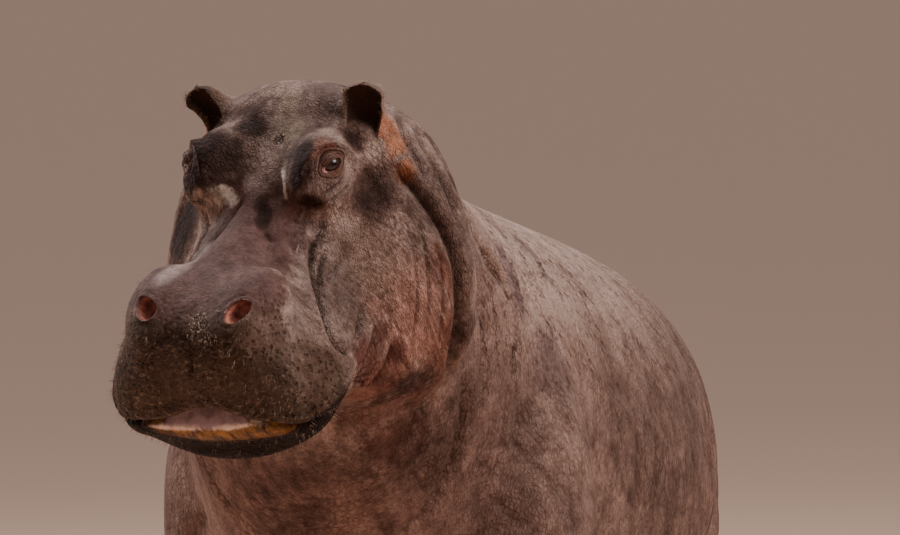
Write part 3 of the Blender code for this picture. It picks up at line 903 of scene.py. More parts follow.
for _, rows, side, stride in LEGS:  # rings of skin above the feet, and the clefts between toes
    x, y = rows[-3][0] * 1000, (rows[-3][1] + stride) * 1000
    for height, depth in ((115, 5), (150, 6), (190, 4), (340, 5), (375, 4)):
        for turn in (-1, 1):
            path = [(x + 150 * math.sin(t * turn), y - 170 * math.cos(t), height + 12 * math.sin(3 * t))
                    for t in (0.0, 0.6, 1.2, 1.8, 2.4)]
            clay.stroke(BODY, path, crease(depth, 8), taper=0.3, marks=[("crease", 0.3, 4)], mirror=side)
clay.settle()
print("creases now mark", int((clay.marks["crease"] > 0.3).sum()), "points")

# %% [markdown]
# ### Furrows
#
# Between the drawn folds the skin is never smooth. Fine furrows are sunk along the zero lines of a noise, and
# the noise is drawn out along the way that the skin wrinkles in each region. They are real geometry, since
# light that grazes the neck shows them in outline too; only what is finer is left to the material.

# %% Furrows
noise.seed_set(5)  # the noise takes its offsets from the clock unless it is given a seed
side_on = np.abs(clay.head[:, 0])
cheek = eased(side_on, 0.13, 0.21) * eased(-clay.head[:, 2], 0.09, 0.17)
cheek *= 1 - eased(-clay.head[:, 1], 0.17, 0.25)
ahead_of = eased(-clay.body[:, 1], 0.66, 0.76)
neck = (1 - ahead_of) * eased(-clay.body[:, 1], 0.20, 0.45)
clay.wrinkle(cheek * ahead_of, "head", (60, 20, 70), 2.2, 3.1)
clay.wrinkle(cheek * ahead_of, "head", (50, 45, 22), 1.0, 9.7)
clay.wrinkle(neck, "body", (80, 34, 110), 4.5, 5.3)
leg_part = 1 - eased(clay.body[:, 2], 0.42, 0.62)
flank = (1 - eased(-clay.body[:, 1], 0.25, 0.45)) * (1 - leg_part)
clay.wrinkle(flank, "body", (120, 60, 150), 3.2, 1.9)
clay.wrinkle(flank + neck, "body", (100, 120, 45), 1.6, 7.7)
clay.wrinkle(leg_part, "body", (60, 60, 40), 2.6, 4.4)
clay.marks["furrow"] *= 0.8
clay.settle()
print("furrows sunk on", int((clay.marks["furrow"] > 0.3).sum()), "points")

# %% [markdown]
# ### Eyes in their lids
#
# The eyeball is a separate wet ball. The skin round it is shaped as a height field along the gaze: inside the
# almond opening it dives behind the ball, at the rim it stands proud of it, and outside it rolls in rings.

# %% Lids
GAZE_LONG = Vector((0, 1, -0.16))  # from the inner corner to the outer one


def gaze_axes(side):
    """Centre of an eyeball, its gaze, and the long and the tall axis of the lids, in the row's frame."""
    flip = Matrix.Diagonal((side, 1, 1, 1))
    gaze = flip @ EYE_GAZE
    long = flip @ (GAZE_LONG - EYE_GAZE * GAZE_LONG.dot(EYE_GAZE)).normalized()
    tall = long.cross(gaze) * side
    turn = HEAD.to_3x3()
    return HEAD @ (flip @ EYE_PLACE), turn @ gaze, turn @ long, turn @ tall


UPPER_RINGS = ((0, -0.0005), (0.002, 0.0008), (0.008, 0.0014), (0.013, 0.0008), (0.0155, -0.0018),
               (0.0180, 0.0006), (0.022, 0.001), (0.030, 0))
LOWER_RINGS = ((0, -0.0005), (0.0018, 0.0010), (0.0040, -0.0012), (0.0062, 0.0010), (0.0085, -0.0014),
               (0.0115, 0.0010), (0.0150, -0.0020), (0.0185, 0.0014), (0.0225, -0.0012), (0.027, 0.0006),
               (0.034, 0))


def lids(side):
    centre, gaze, long, tall = (np.array(v) for v in gaze_axes(side))
    offset = clay.place - centre
    near = np.flatnonzero((np.linalg.norm(offset, axis=1) < 0.066) & (offset @ gaze > -0.02))
    offset = offset[near]
    out, l, t = offset @ gaze, offset @ long, offset @ tall
    r = np.hypot(l, t)
    almond = np.sqrt((l / 0.0205) ** 2 + ((t + 0.0010) / (0.0105 - 0.10 * np.abs(l))) ** 2)
    beside = r * (1 - 1 / np.maximum(almond, 1e-3))
    ball = np.sqrt(np.maximum(EYE_RADIUS ** 2 - r ** 2, 0))
    mound = np.sqrt(np.maximum((EYE_RADIUS + 0.0040) ** 2 - r ** 2, 0))
    share = eased(t, -0.004, 0.006)
    rings = share * np.interp(beside, *np.array(UPPER_RINGS).T)
    rings += (1 - share) * np.interp(beside, *np.array(LOWER_RINGS).T)
    blend = 0.006
    top = np.maximum(mound, out) + blend * 0.25 * np.maximum(0, 1 - np.abs(mound - out) / blend) ** 2
    lid = top + rings * (1 - eased(r, 0.040, 0.055))
    inside = 1 - eased(almond, 0.90, 1.0)
    height = lid * (1 - inside) + (ball - 0.008) * inside
    clay.place[near] += (height - out)[:, None] * gaze
    clay.mark("lid", (1 - eased(beside, 0.010, 0.030)) * (almond > 0.9), near)
    grooves = np.maximum(0, -rings / 0.002)
    clay.mark("ring", np.clip(grooves, 0, 1), near)
    clay.mark("corner", 1 - eased(distance(np.stack([l, t], 1), (-0.020, -0.002)), 0.003, 0.007), near)


for side in (1, -1):
    lids(side)
clay.settle()

# %% [markdown]
# ### Nostrils
#
# A nostril is a slanting slot that the animal can shut, with a thin raised rim and a deep red-brown inside.
# The skin is driven in along the nostril's own axis, deepest in the middle, and lifted in a ring around it.

# %% Nostrils
NOSTRIL_PLACES = {1: Vector((0.107, -0.427, -0.003)), -1: Vector((-0.096, -0.424, -0.002))}
NOSTRIL_AXIS = Vector((0.14, -0.62, 0.77)).normalized()


def nostril(side):
    flip = Matrix.Diagonal((side, 1, 1, 1))
    turn = HEAD.to_3x3()
    axis = NOSTRIL_AXIS
    slant = Vector((0.62, 0.60, 0.30))
    slant = (slant - axis * slant.dot(axis)).normalized()
    wide = axis.cross(slant)
    centre, axis, slant, wide = (np.array(v) for v in (
        HEAD @ NOSTRIL_PLACES[side], turn @ (flip @ axis), turn @ (flip @ slant), turn @ (flip @ wide)))
    offset = clay.place - centre
    near = np.flatnonzero((np.linalg.norm(offset, axis=1) < 0.07) & (offset @ axis > -0.045))
    offset = offset[near]
    a, b = offset @ slant, offset @ wide
    r = np.hypot(a, b)
    narrow = 1 - 0.30 * np.clip(a / 0.030, -1, 1) * (side < 0)  # one is shut a little at its top
    ellipse = np.sqrt((a / 0.030) ** 2 + (b / (0.0190 * narrow)) ** 2)
    beside = r * (1 - 1 / np.maximum(ellipse, 1e-3))
    facing = (clay.normal[near] @ axis > 0.1)
    rim = np.interp(beside, (-0.002, 0.0, 0.002, 0.005, 0.010, 0.018, 0.026),
                    (0.0, 0.0010, 0.0014, 0.0006, -0.0012, 0.0, 0.0))
    sink = -0.045 * np.sqrt(np.clip(1 - ellipse ** 2, 0, 1))
    clay.place[near] += (np.where(ellipse < 1, sink + 0.003, rim) * facing)[:, None] * axis
    clay.mark("nostril", (1 - eased(ellipse, 0.92, 1.0)) * facing, near)
    clay.mark("rim", np.exp(-((beside - 0.0006) / 0.0013) ** 2) * facing, near)


for side in (1, -1):
    nostril(side)
clay.settle()

# %% [markdown]
# ### Ears
#
# The leaf is hollowed from the front until its back wall and its rim are thin, like a spoon.

# %% Hollow the ears
def hollow_ear(word):
    axes = ear_axes(word)
    local = in_frame(clay.place, axes)
    width, depth, length = EAR_RADII
    x, y, z = local.T
    near = (np.abs(x) < 1.3 * width) & (np.abs(z) < 1.2 * length) & (np.abs(y) < 1.6 * depth)
    spoon = np.sqrt((x / (0.87 * width)) ** 2 + ((z - 0.08 * length) / (0.86 * length)) ** 2)
    front = near & (y > -0.004) & (spoon < 1)
    wall = -depth * np.sqrt(np.clip(1 - (x / width) ** 2 - (z / length) ** 2, 0, 1)) + 0.010
    sunk = np.maximum(wall, y - 0.048 * np.sqrt(np.clip(1 - spoon ** 2, 0, 1)))
    moved = local.copy()
    moved[front, 1] = sunk[front]
    whole = (np.abs(x) < 1.5 * width) & (z > 0) & (z < 1.3 * length) & (np.abs(y) < 1.8 * depth)
    blunt = eased(z / length, 0.15, 0.9) * whole
    moved[:, 0] *= 1 + 0.42 * blunt
    moved[:, 2] -= 0.10 * length * eased(z / length, 0.5, 1.0) * whole
    matrix = np.array(axes)
    clay.place[whole | front] = moved[whole | front] @ matrix[:3, :3].T + matrix[:3, 3]
    clay.mark("ear", (1 - eased(spoon, 0.92, 1.02)) * front)
    clay.mark("ear_rim", np.exp(-((spoon - 1.06) / 0.10) ** 2) * (near & (z > -0.2 * length)))


for word in EARS:
    hollow_ear(word)
clay.settle()
print("eyes, nostrils and ears formed")

# %% [markdown]
# ### Where the colours change
#
# Hide isn't one colour: mud darkens the muzzle and brow, blood shows pink through thin skin on the cheeks and
# behind the ears, and the bluish shine of wet places is painted in as highlights. Painted shade darkens the
# far side of the head, the low cheek, the low flank and the neck behind the jowl. Each is a soft patch kept
# on the skin's points as a number, so that the material can break up its edge with noise and mix the colour
# in.

# %% Patches of colour
BOTH = (1, -1)
head_y, head_z = -clay.head[:, 1], -clay.head[:, 2]
clay.mark("on_head", ahead_of)
clay.mark("muzzle", eased(head_y, 0.390, 0.470) * eased(head_z, -0.032, 0.040))
clay.mark("cheek", cheek * ahead_of)
clay.mark("muzzle", eased(head_y, 0.300, 0.400) * eased(head_z, 0.120, 0.210))
clay.mark("pits", eased(head_y, 0.300, 0.380) * eased(head_z, -0.005, 0.060))
for name, strength, mirror, *spots in (  # each spot: its middle, then its radii
    ("pale_muzzle", 0.9, BOTH, (225, -380, -180, 80, 110, 110), (190, -420, -80, 80, 80, 70),
     (150, -440, -40, 60, 60, 60)),
    ("speckle", 1.0, (1,), (28, -446, -28, 36, 40, 30), (58, -468, -46, 34, 26, 26)),
    ("mauve", 1.0, BOTH, (40, -190, -50, 100, 180, 90), (55, -90, -40, 50, 80, 50),
     (20, -420, -20, 90, 50, 40), (100, -370, -10, 110, 60, 70), (70, -340, -10, 150, 90, 80)),
    ("pink", 1.0, BOTH, (262, -70, -300, 60, 100, 120), (250, -110, -370, 70, 90, 110)),
    ("red", 1.0, BOTH, (195, -173, -419, 120, 90, 120), (285, -30, -440, 90, 100, 130),
     (302, 35, -345, 46, 46, 160)),
    ("orange", 1.0, BOTH, (198, 168, -48, 32, 40, 45), (214, 146, -82, 30, 40, 45),
     (234, 118, -120, 26, 36, 40)),
    ("dark", 0.74, BOTH, (199, 36, -113, 62, 70, 52)),
    ("dark", 0.8, BOTH, (156, 100, -22, 34, 30, 34)),
    ("dark", 0.9, (1,), (98, 0, 22, 22, 34, 34), (105, -40, 12, 28, 36, 36), (124, -80, -45, 28, 30, 26),
     (22, -85, -34, 11, 26, 20), (36, -115, -42, 14, 30, 24), (15, 63, 4, 12, 12, 12)),
    # on the far side of the head: partly dark skin, partly painted shade over brow, orbit, cheek and jaw
    ("dark", 0.95, (-1,), (73, -11, 10, 50, 60, 50), (113, -4, 29, 50, 60, 50), (125, -40, -10, 50, 45, 50),
     (55, 85, 8, 36, 30, 30), (222, -8, -170, 70, 80, 90), (300, 30, -270, 70, 80, 90)),
    ("dark", 0.9, (-1,), (182, 148, 22, 36, 36, 44)),
    ("dusk", 0.9, (-1,), (60, 130, 12, 65, 60, 40), (140, 30, 0, 60, 60, 70)),
    ("dusk", 1.0, (1,), (85, 75, 12, 45, 35, 30), (62, 20, 5, 28, 50, 30)),
    # dusky skin, and painted shade where these patches lie low on the cheek
    ("dusk", 0.8, BOTH, (165, -20, -88, 36, 60, 45), (128, -120, -105, 30, 60, 40),
     (205, -160, -415, 85, 70, 70), (200, -120, -480, 110, 90, 80), (237, -60, -490, 80, 80, 80)),
    # a painted highlight between the brows
    ("sheen", 1.0, (1,), (-9, 10, -12, 22, 45, 30), (-10, -30, -22, 24, 40, 30)),
    ("pink", 0.5, BOTH, (222, -140, -262, 40, 50, 55)),
    ("wine", 1.0, BOTH, (213, -222, -292, 40, 40, 40), (213, -206, -320, 70, 60, 65),
     (200, -215, -360, 70, 55, 50), (228, -165, -300, 45, 34, 45), (232, -145, -370, 45, 36, 50)),
    # painted shade low on the cheek
    ("low_cheek", 1.0, BOTH, (205, -160, -420, 90, 70, 50), (200, -110, -490, 110, 90, 70)),
    ("throat", 1.0, BOTH, (120, -110, -560, 140, 120, 90), (200, -60, -580, 100, 120, 90),
     (90, -30, -660, 140, 140, 120)),
    # painted highlights on two folds of the face
    ("streak", 0.34, BOTH, (192, -182, -206, 24, 26, 34), (120, -130, -115, 16, 34, 20)),
    ("dusk", 0.7, BOTH, (170, -80, -155, 22, 34, 30), (262, -93, -383, 34, 40, 45),
     (284, 7, -261, 30, 34, 60)),
    ("ruddy", 0.9, BOTH, (136, 18, 26, 34, 34, 34), (118, 0, 18, 30, 30, 30)),
    ("ruddy", 1.0, (-1,), (150, 0, -4, 34, 40, 44)),
    ("pale", 1.0, (-1,), (80, -72, -36, 46, 28, 30), (108, -80, -50, 32, 36, 44)),
    ("stripe", 1.0, (1,), (12, 125, 24, 30, 60, 30), (40, 85, 12, 40, 45, 30)),
    ("smooth", 1.0, (1,), (-35, -515, -120, 60, 70, 80), (110, -510, -120, 100, 70, 60)),
    ("speckle", 1.0, (1,), (15, 63, 4, 22, 20, 20)),
    ("tan", 0.9, BOTH, (200, -60, -180, 80, 90, 90), (215, -100, -230, 70, 80, 90)),
):
    softness = 0.4 if name == "mauve" else 0.1
    for spot in spots:
        grown = np.array(spot[3:]) * (1.55 if name == "dark" else 1.3)
        clay.blob(name, spot[:3], grown, strength, mirror, softness)
lap = np.interp(head_z, (0.085, 0.142, 0.215, 0.289, 0.335, 0.385, 0.440, 0.500, 0.560),
                (0.120, 0.104, 0.092, 0.078, 0.066, 0.045, 0.025, 0.005, -0.005)) + head_y
before_lap = eased(lap, -0.004, 0.014)
for name in ("pink", "red", "tan", "cheek", "throat", "low_cheek", "wine"):
    clay.marks[name] *= before_lap
clay.mark("shade", (1 - before_lap) * (1 - eased(-lap, 0.02, 0.07)) * eased(head_z, 0.22, 0.36) * ahead_of)
back_up = 0.25 + 0.75 * eased(clay.body[:, 2], 0.70, 1.25)
clay.mark("dusty", (1 - eased(-clay.body[:, 1], 0.38, 0.60)) * back_up)
for centre, radii in (((330, -240, 1200), (200, 90, 160)), ((380, -120, 1020), (200, 120, 140)),
                      ((340, 60, 1240), (200, 60, 90))):
    clay.blob("bruise", centre, radii, 0.9, BOTH, 0.2, frame="body")
behind = 1 - ahead_of
# painted shade: the lower part of the body is marked to be darker
clay.mark("shaded_low_side", (1 - eased(clay.body[:, 2], 0.95, 1.22)) * behind)
clay.mark("neck", neck * behind)
clay.mark("belly", (1 - eased(clay.body[:, 2], 0.30, 0.62)) * behind * (np.abs(clay.body[:, 0]) < 0.36))
print("marks on the skin:", ", ".join(sorted(clay.marks)))

# %% [markdown]
# ### Standing flat
#
# Whatever hangs below the ground is pressed flat, so that all four soles share one level.

# %% Soles
clay.place[:, 2] = np.maximum(clay.place[:, 2], 0.0)
clay.settle()
clay.write_marks()
for part in skin.data.polygons:
    part.use_smooth = True
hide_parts(*FLESH)
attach(skin, "root")
print("lowest point of the skin:", clay.place[:, 2].min())

# %% [markdown]
# ## Shader maths as expressions
#
# A material is a graph of nodes. Written one by one, nodes bury the idea, so a small class wraps an output
# socket and lets plain arithmetic add the Math nodes. Everything else goes through one method.

# %% A socket that can do arithmetic
class Wire:
    """An output socket of a material's node tree, usable in arithmetic on values."""

    def __init__(self, tree, socket=None):
        self.tree, self.socket = tree, socket

    def node(self, kind, settings=None, values=None, output=0):
        """Adds a node: first its settings, then its sockets' values or links."""
        made = self.tree.nodes.new(kind)
        for key, value in (settings or {}).items():
            setattr(made, key, value)
        for key, value in (values or {}).items():
            socket = made.inputs[key]
            if isinstance(value, Wire):
                self.tree.links.new(value.socket, socket)
            elif isinstance(value, tuple) and len(value) == 3 and socket.type == "RGBA":
                socket.default_value = (*value, 1)
            else:
                socket.default_value = value
        return Wire(self.tree, made.outputs[output])

    def maths(self, operation, *values):
        return self.node("ShaderNodeMath", {"operation": operation}, dict(enumerate(values)))

    def __add__(self, other):
        return self.maths("ADD", self, other)

    def __radd__(self, other):
        return self.maths("ADD", other, self)

    def __sub__(self, other):
        return self.maths("SUBTRACT", self, other)

    def __rsub__(self, other):
        return self.maths("SUBTRACT", other, self)

    def __mul__(self, other):
        return self.maths("MULTIPLY", self, other)

    def __rmul__(self, other):
        return self.maths("MULTIPLY", other, self)

    def step(self, low, high):
        """0 below low, 1 above high, and a soft step between."""
        return self.node("ShaderNodeMapRange", {"interpolation_type": "SMOOTHSTEP"},
                         {"Value": self, "From Min": low, "From Max": high})

    def colour(self, low, high):
        """Low colour where this value is 0, high colour where it is 1."""
        return self.node("ShaderNodeMix", {"data_type": "RGBA"}, {0: self, 6: low, 7: high}, 2)


def finish(name, **constants):
    """A new material: its wire to start from and its Principled shader."""
    made = bpy.data.materials.new(name)
    made.use_nodes = True
    shader = made.node_tree.nodes["Principled BSDF"]
    for socket, value in constants.items():
        shader.inputs[socket.replace("_", " ")].default_value = value
    return made, Wire(made.node_tree), shader


def feed(shader, socket, wire):
    wire.tree.links.new(wire.socket, shader.inputs[socket])


print("arithmetic for sockets ready")

# %% [markdown]
# ## The hide
#
# The skin is thick and nearly bare. From a step away it is a map of stains, and up close a net of shallow
# cracks. It could be painted as an image, but a procedural finish has no limit of resolution and follows any
# shape, so every colour comes from noise and from the marks that the sculpting left. First come the tools:
# noise, coordinates that are stretched or warped, and ways to lay one colour over another.

# %% Tools for the hide
hide, start, shader = finish("hide", Roughness=0.5)
spot = start.node("ShaderNodeTexCoord", output=3)
face_spot = start.node("ShaderNodeAttribute", {"attribute_name": "face_place"}, output=1)


def mottle(scale, detail=3, rough=0.5, where=spot, seed=0.0):
    return start.node("ShaderNodeTexNoise", {"noise_dimensions": "4D"}, {
        "Vector": where, "W": seed, "Scale": scale, "Detail": detail, "Roughness": rough})


def stretched(where, x, y, z):
    """Coordinates squeezed along each axis, so that a pattern comes out drawn into streaks."""
    return start.node("ShaderNodeVectorMath", {"operation": "MULTIPLY"}, {0: where, 1: (x, y, z)})


def warped(where, scale, amount):
    shift = start.node("ShaderNodeTexNoise", None, {"Vector": where, "Scale": scale, "Detail": 2.0}, 1)
    shift = start.node("ShaderNodeVectorMath", {"operation": "SCALE"}, {0: shift, "Scale": amount})
    return start.node("ShaderNodeVectorMath", {"operation": "ADD"}, {0: where, 1: shift})


def marked(name):
    return start.node("ShaderNodeAttribute", {"attribute_name": name}, output=2)


def cells(where, scale, feature="F1", randomness=1.0):
    return start.node("ShaderNodeTexVoronoi", {"feature": feature}, {
        "Vector": where, "Scale": scale, "Randomness": randomness})


def times(below, colour, amount):
    """Multiplies a colour into another one, as far as the amount says."""
    return start.node("ShaderNodeMix", {"data_type": "RGBA", "blend_type": "MULTIPLY"},
                      {0: amount, 6: below, 7: colour}, 2)


broken = mottle(16, 6, 0.62)  # breaks up the edges of every patch
streaky = mottle(34, 5, 0.6, where=stretched(face_spot, 1.0, 1.0, 0.25), seed=1.0)


def hatching(tilt, scale, seed):
    """Fine lines that run slantwise down the flank."""
    turned = start.node("ShaderNodeMapping", {"vector_type": "TEXTURE"}, {
        "Vector": spot, "Rotation": (math.radians(tilt), 0, 0), "Scale": (1.0, 1.0, 9.0)})
    lines = mottle(scale, 2, 0.5, where=warped(turned, 3, 0.02), seed=seed)
    return lines.step(0.57, 0.62) * mottle(11, 3, 0.5, seed=seed + 1).step(0.42, 0.60)


fine = mottle(110, 4, 0.65, seed=2.0)
ragged = (broken - 0.5) * 1.6 + (streaky - 0.5) * 1.2 + (fine - 0.5) * 1.0
grain = mottle(480, 2, 0.5, seed=4.0)


def patch(name, wander=0.9):
    """A mark with a ragged, streaked edge and an uneven inside."""
    inside = marked(name)
    edge = inside * (1 - inside) * 4
    return (inside + edge * ragged * wander).step(0.10, 0.95)


def over(below, name, colour, amount=1.0, wander=0.9):
    return (patch(name, wander) * amount).colour(below, colour)


print("the hide can read", len(clay.marks), "marks")

# %% [markdown]
# ### Stains
#
# The ground is a mottled grey-brown, dusty on the body. Each stain is then laid over it, from the broadest to
# the smallest. Thin skin is stained pink by blood, dried mud greys the flank, and pigment darkens the muzzle
# and the brow. Some layers are painted light instead: painted shade on the far side of the head, low on the
# cheek and the body, under the lower lip and behind the jowl, and painted highlights between the brows and
# along the bridge. Noise pushes every edge about, because a soft round edge would look like a lamp's glow.
# Dark stains multiply what is below them, so that its grain still shows.

# %% Stains
tone = mottle(9.0, 6, 0.68, where=stretched(face_spot, 1.0, 0.8, 0.6), seed=1.5).step(0.36, 0.66)
base = tone.colour((0.105, 0.068, 0.058), (0.290, 0.205, 0.175))
dust = mottle(5.0, 6, 0.55, where=stretched(spot, 1.0, 1.0, 0.35), seed=2.5).step(0.3, 0.7)
base = (marked("dusty") * 0.95).colour(base, dust.colour((0.232, 0.160, 0.136), (0.350, 0.256, 0.220)))
base = over(base, "bruise", (0.138, 0.090, 0.086), 0.82, 1.4)
base = over(base, "belly", (0.250, 0.135, 0.105), 0.6)
base = over(base, "tan", (0.235, 0.155, 0.124), 0.9)
base = over(base, "mauve", (0.074, 0.036, 0.031), 0.93, 1.0)
# dusky patches of skin, and painted shade where they lie low on the cheek
base = times(base, (0.40, 0.31, 0.29), patch("dusk", 1.2) * 0.75)
base = over(base, "stripe", (0.260, 0.200, 0.150), 0.55)
base = over(base, "throat", (0.085, 0.038, 0.027), 0.75, 1.2)
base = over(base, "red", (0.172, 0.078, 0.056), 0.9)
# painted shade: the low cheek is darkened
base = times(base, (0.55, 0.53, 0.55), patch("low_cheek", 1.2) * 0.85)
base = over(base, "pink", (0.290, 0.160, 0.128), 0.85)
base = over(base, "wine", (0.086, 0.034, 0.026), 0.92, 1.3)
base = over(base, "orange", (0.330, 0.132, 0.072), 0.85, 1.3)
base = over(base, "muzzle", (0.046, 0.027, 0.018), 0.96, 0.8)
grit = mottle(95, 5, 0.80, where=stretched(face_spot, 0.7, 1.0, 1.3), seed=14.0).step(0.51, 0.63)
gritty = marked("pits") * (1 - 0.85 * marked("smooth"))
base = (grit * gritty * 0.85).colour(base, (0.200, 0.140, 0.100))
# a painted highlight of sheen between the brows
base = over(base, "sheen", (0.210, 0.145, 0.130), 0.78, 1.2)
base = over(base, "pale_muzzle", (0.104, 0.062, 0.045), 0.85)
base = over(base, "ruddy", (0.150, 0.050, 0.030), 0.85)
# a painted highlight of wet shine on the bridge's far edge and over the muzzle
base = (marked("wet") * (0.7 + ragged * 1.5)).step(0.10, 1.00).colour(base, (0.230, 0.155, 0.138))
# dark skin, and painted shade on the far side of the head
base = times(base, (0.42, 0.33, 0.30), (marked("dark") + ragged * 0.12).step(0.0, 0.45) * 0.85)
base = ((marked("dark") + ragged * 0.38).step(0.16, 0.80) * 0.95).colour(base, (0.0330, 0.0178, 0.0145))
base = (patch("pale", 2.6) * (0.22 + 0.62 * streaky.step(0.42, 0.60))).colour(base, (0.500, 0.395, 0.325))
flecks = mottle(230, 3, 0.8, where=stretched(face_spot, 1.0, 1.0, 0.6), seed=15.0).step(0.53, 0.60)
base = (patch("speckle", 2.0) * flecks * 0.9).colour(base, (0.600, 0.480, 0.390))
# painted highlight streaks of wet light
base = (marked("streak") * (0.85 + ragged * 1.6)).step(0.25, 0.75).colour(base, (0.520, 0.400, 0.330))
# painted shade: the chin under the lower lip is coloured nearly black
base = marked("chin").colour(base, (0.012, 0.006, 0.004))
grime = mottle(38, 6, 0.7, seed=3.0).step(0.40, 0.72)
base = times(base, (0.46, 0.38, 0.34), grime * (0.75 - 0.4 * marked("dusty")))
base = times(base, (0.82, 0.78, 0.77), marked("neck"))
# painted shade darkens the lower side of the body
base = times(base, (0.68, 0.62, 0.60), marked("shaded_low_side") * 0.9)
base = times(base, (0.50, 0.43, 0.40), streaky.step(0.42, 0.66) * (0.65 - 0.6 * marked("dusty")))
base = times(base, (0.45, 0.38, 0.34), (fine.step(0.50, 0.66) * 0.5))
base = times(base, (0.30, 0.22, 0.18), marked("shade") * (0.65 + ragged * 0.4))
specks = cells(warped(spot, 30, 0.012), 62).step(0.17, 0.10) * mottle(20, 3, 0.5, seed=5.0).step(0.45, 0.60)
base = (specks * (1 - marked("muzzle")) * 0.75).colour(base, (0.030, 0.013, 0.009))

scratches = hatching(38, 75, 20.0) + hatching(52, 70, 22.0) * 0.9 + hatching(8, 80, 24.0) * 0.7
base = times(base, (0.42, 0.33, 0.29), scratches * marked("dusty") * 0.8)

print("stains laid:", sum(node.bl_idname == "ShaderNodeMix" for node in hide.node_tree.nodes))

# %% [markdown]
# ### Cracks
#
# Hide splits into small plates between fine cracks. A Voronoi texture read as the distance to its edges
# draws such plates; stretching and warping its coordinates draws them out down the cheek and along the neck.
# Two sizes are mixed, and the same values darken the colour here and sink the relief below, so that the two
# always agree.

# %% Cracks
bent_face = warped(stretched(face_spot, 1.0, 1.0, 0.42), 14, 0.016)
bent_body = warped(stretched(spot, 0.7, 1.0, 0.55), 8, 0.030)
is_face = marked("on_head")


def plates(on_face, on_body, crack):
    """1 on the plates and 0 in the cracks between them, at one scale on the face and one on the body."""
    face_plates = cells(bent_face, on_face, "DISTANCE_TO_EDGE") * is_face
    body_plates = cells(bent_body, on_body, "DISTANCE_TO_EDGE") * (1 - is_face)
    return (face_plates + body_plates).step(0.0, crack)


large, small = plates(88, 62, 0.22), plates(210, 150, 0.26)
lined = marked("cheek")
hairlines = mottle(140, 2, 0.5, where=stretched(face_spot, 1.0, 1.0, 0.11), seed=12.0)
hairlines = hairlines * (lined * 0.8 + 0.30 * is_face)
wrinkled = (1 - marked("mauve") * 0.85) * (1 - marked("gum")) * (1 - marked("pits") * 0.6)
patchy = mottle(9, 2, 0.5, seed=6.0).step(0.30, 0.65)
pits = cells(stretched(warped(face_spot, 40, 0.008), 0.8, 1.0, 1.2), 88).step(0.10, 0.50)
pitted = gritty * (1 - marked("gum").step(0.1, 0.5)) * (1 - marked("amber").step(0.1, 0.5))
base = times(base, (0.50, 0.42, 0.38), (1 - large) * wrinkled * patchy * (1 - lined * 0.75) * 0.55)
base = times(base, (0.55, 0.48, 0.44), (1 - small) * wrinkled * 0.5)
base = times(base, (0.50, 0.41, 0.37), hairlines.step(0.42, 0.60) * 0.6)
base = times(base, (0.12, 0.08, 0.06), (1 - pits) * pitted * broken.step(0.35, 0.60) * 0.62)
# painted shade in the furrows
base = times(base, (0.30, 0.20, 0.16), marked("furrow") * 0.55)
# painted shade: the creases are darkened in the colour
base = times(base, (0.14, 0.08, 0.06), marked("crease") * 0.95)
print("cracks and pits drawn")

# %% [markdown]
# ### Bare and wet parts
#
# Lids, nostrils, ears and lips have thinner skin of their own colours. The lower lip's rim is stained amber
# and crossed by dark bars, and between the lips a pale gum shows. Their marks are sharp, so these come last.

# %% Lids, nostrils, ears and lips
base = (marked("lid") * 0.85).colour(base, (0.070, 0.029, 0.020))
# painted shade in the grooves of the rings round the eye
base = (marked("ring") * 0.8).colour(base, (0.034, 0.010, 0.006))
base = (marked("corner") * 0.9).colour(base, (0.42, 0.20, 0.17))
inner = mottle(60, 3, seed=8.5).step(0.3, 0.7).colour((0.210, 0.066, 0.046), (0.540, 0.200, 0.145))
base = marked("nostril").colour(base, inner)
base = (marked("rim") * (0.5 + ragged * 1.2)).step(0.35, 0.75).colour(base, (0.34, 0.21, 0.17))
base = marked("ear").colour(base, (0.026, 0.012, 0.008))
base = (marked("ear_rim") * 0.45).colour(base, (0.120, 0.075, 0.052))
stain = mottle(30, 6, 0.70, where=stretched(face_spot, 1.0, 0.6, 0.9), seed=8.0).step(0.38, 0.62)
amber = stain.colour((0.172, 0.078, 0.018), (0.048, 0.022, 0.008))
bars = mottle(60, 4, 0.65, where=stretched(face_spot, 1.0, 0.1, 0.14), seed=9.5).step(0.54, 0.62)
amber = times(amber, (0.14, 0.08, 0.06), bars * 0.85)
amber = times(amber, (0.32, 0.22, 0.18), marked("amber_foot") * 0.85)
gum = mottle(26, 5, 0.6, where=stretched(face_spot, 1.0, 1.0, 0.5), seed=9.0).step(0.38, 0.70).colour(
    (0.230, 0.150, 0.152), (0.085, 0.050, 0.050))
base = (marked("amber") + (fine - 0.5) * 0.9 + (broken - 0.5) * 0.9).step(0.35, 0.75).colour(base, amber)
base = (marked("gum") + ragged * 0.25).step(0.3, 0.8).colour(base, gum)
# a painted highlight along the boundary of gum and lower lip
base = (marked("lip_edge_highlight") * (0.7 + ragged * 1.4)).step(0.25, 0.95).colour(base, (0.400, 0.290, 0.235))
feed(shader, "Base Color", base)
print("colour nodes:", len(hide.node_tree.nodes))

# %% [markdown]
# ### Relief and shine
#
# The bump is only what is too fine for the mesh: cracks, pits, hairlines and grain. Dry hide is matt, with
# very little reflection, or its upper side would pick up the sky and turn blue. A thin coat adds the
# wetness of nostrils, gums and lids.

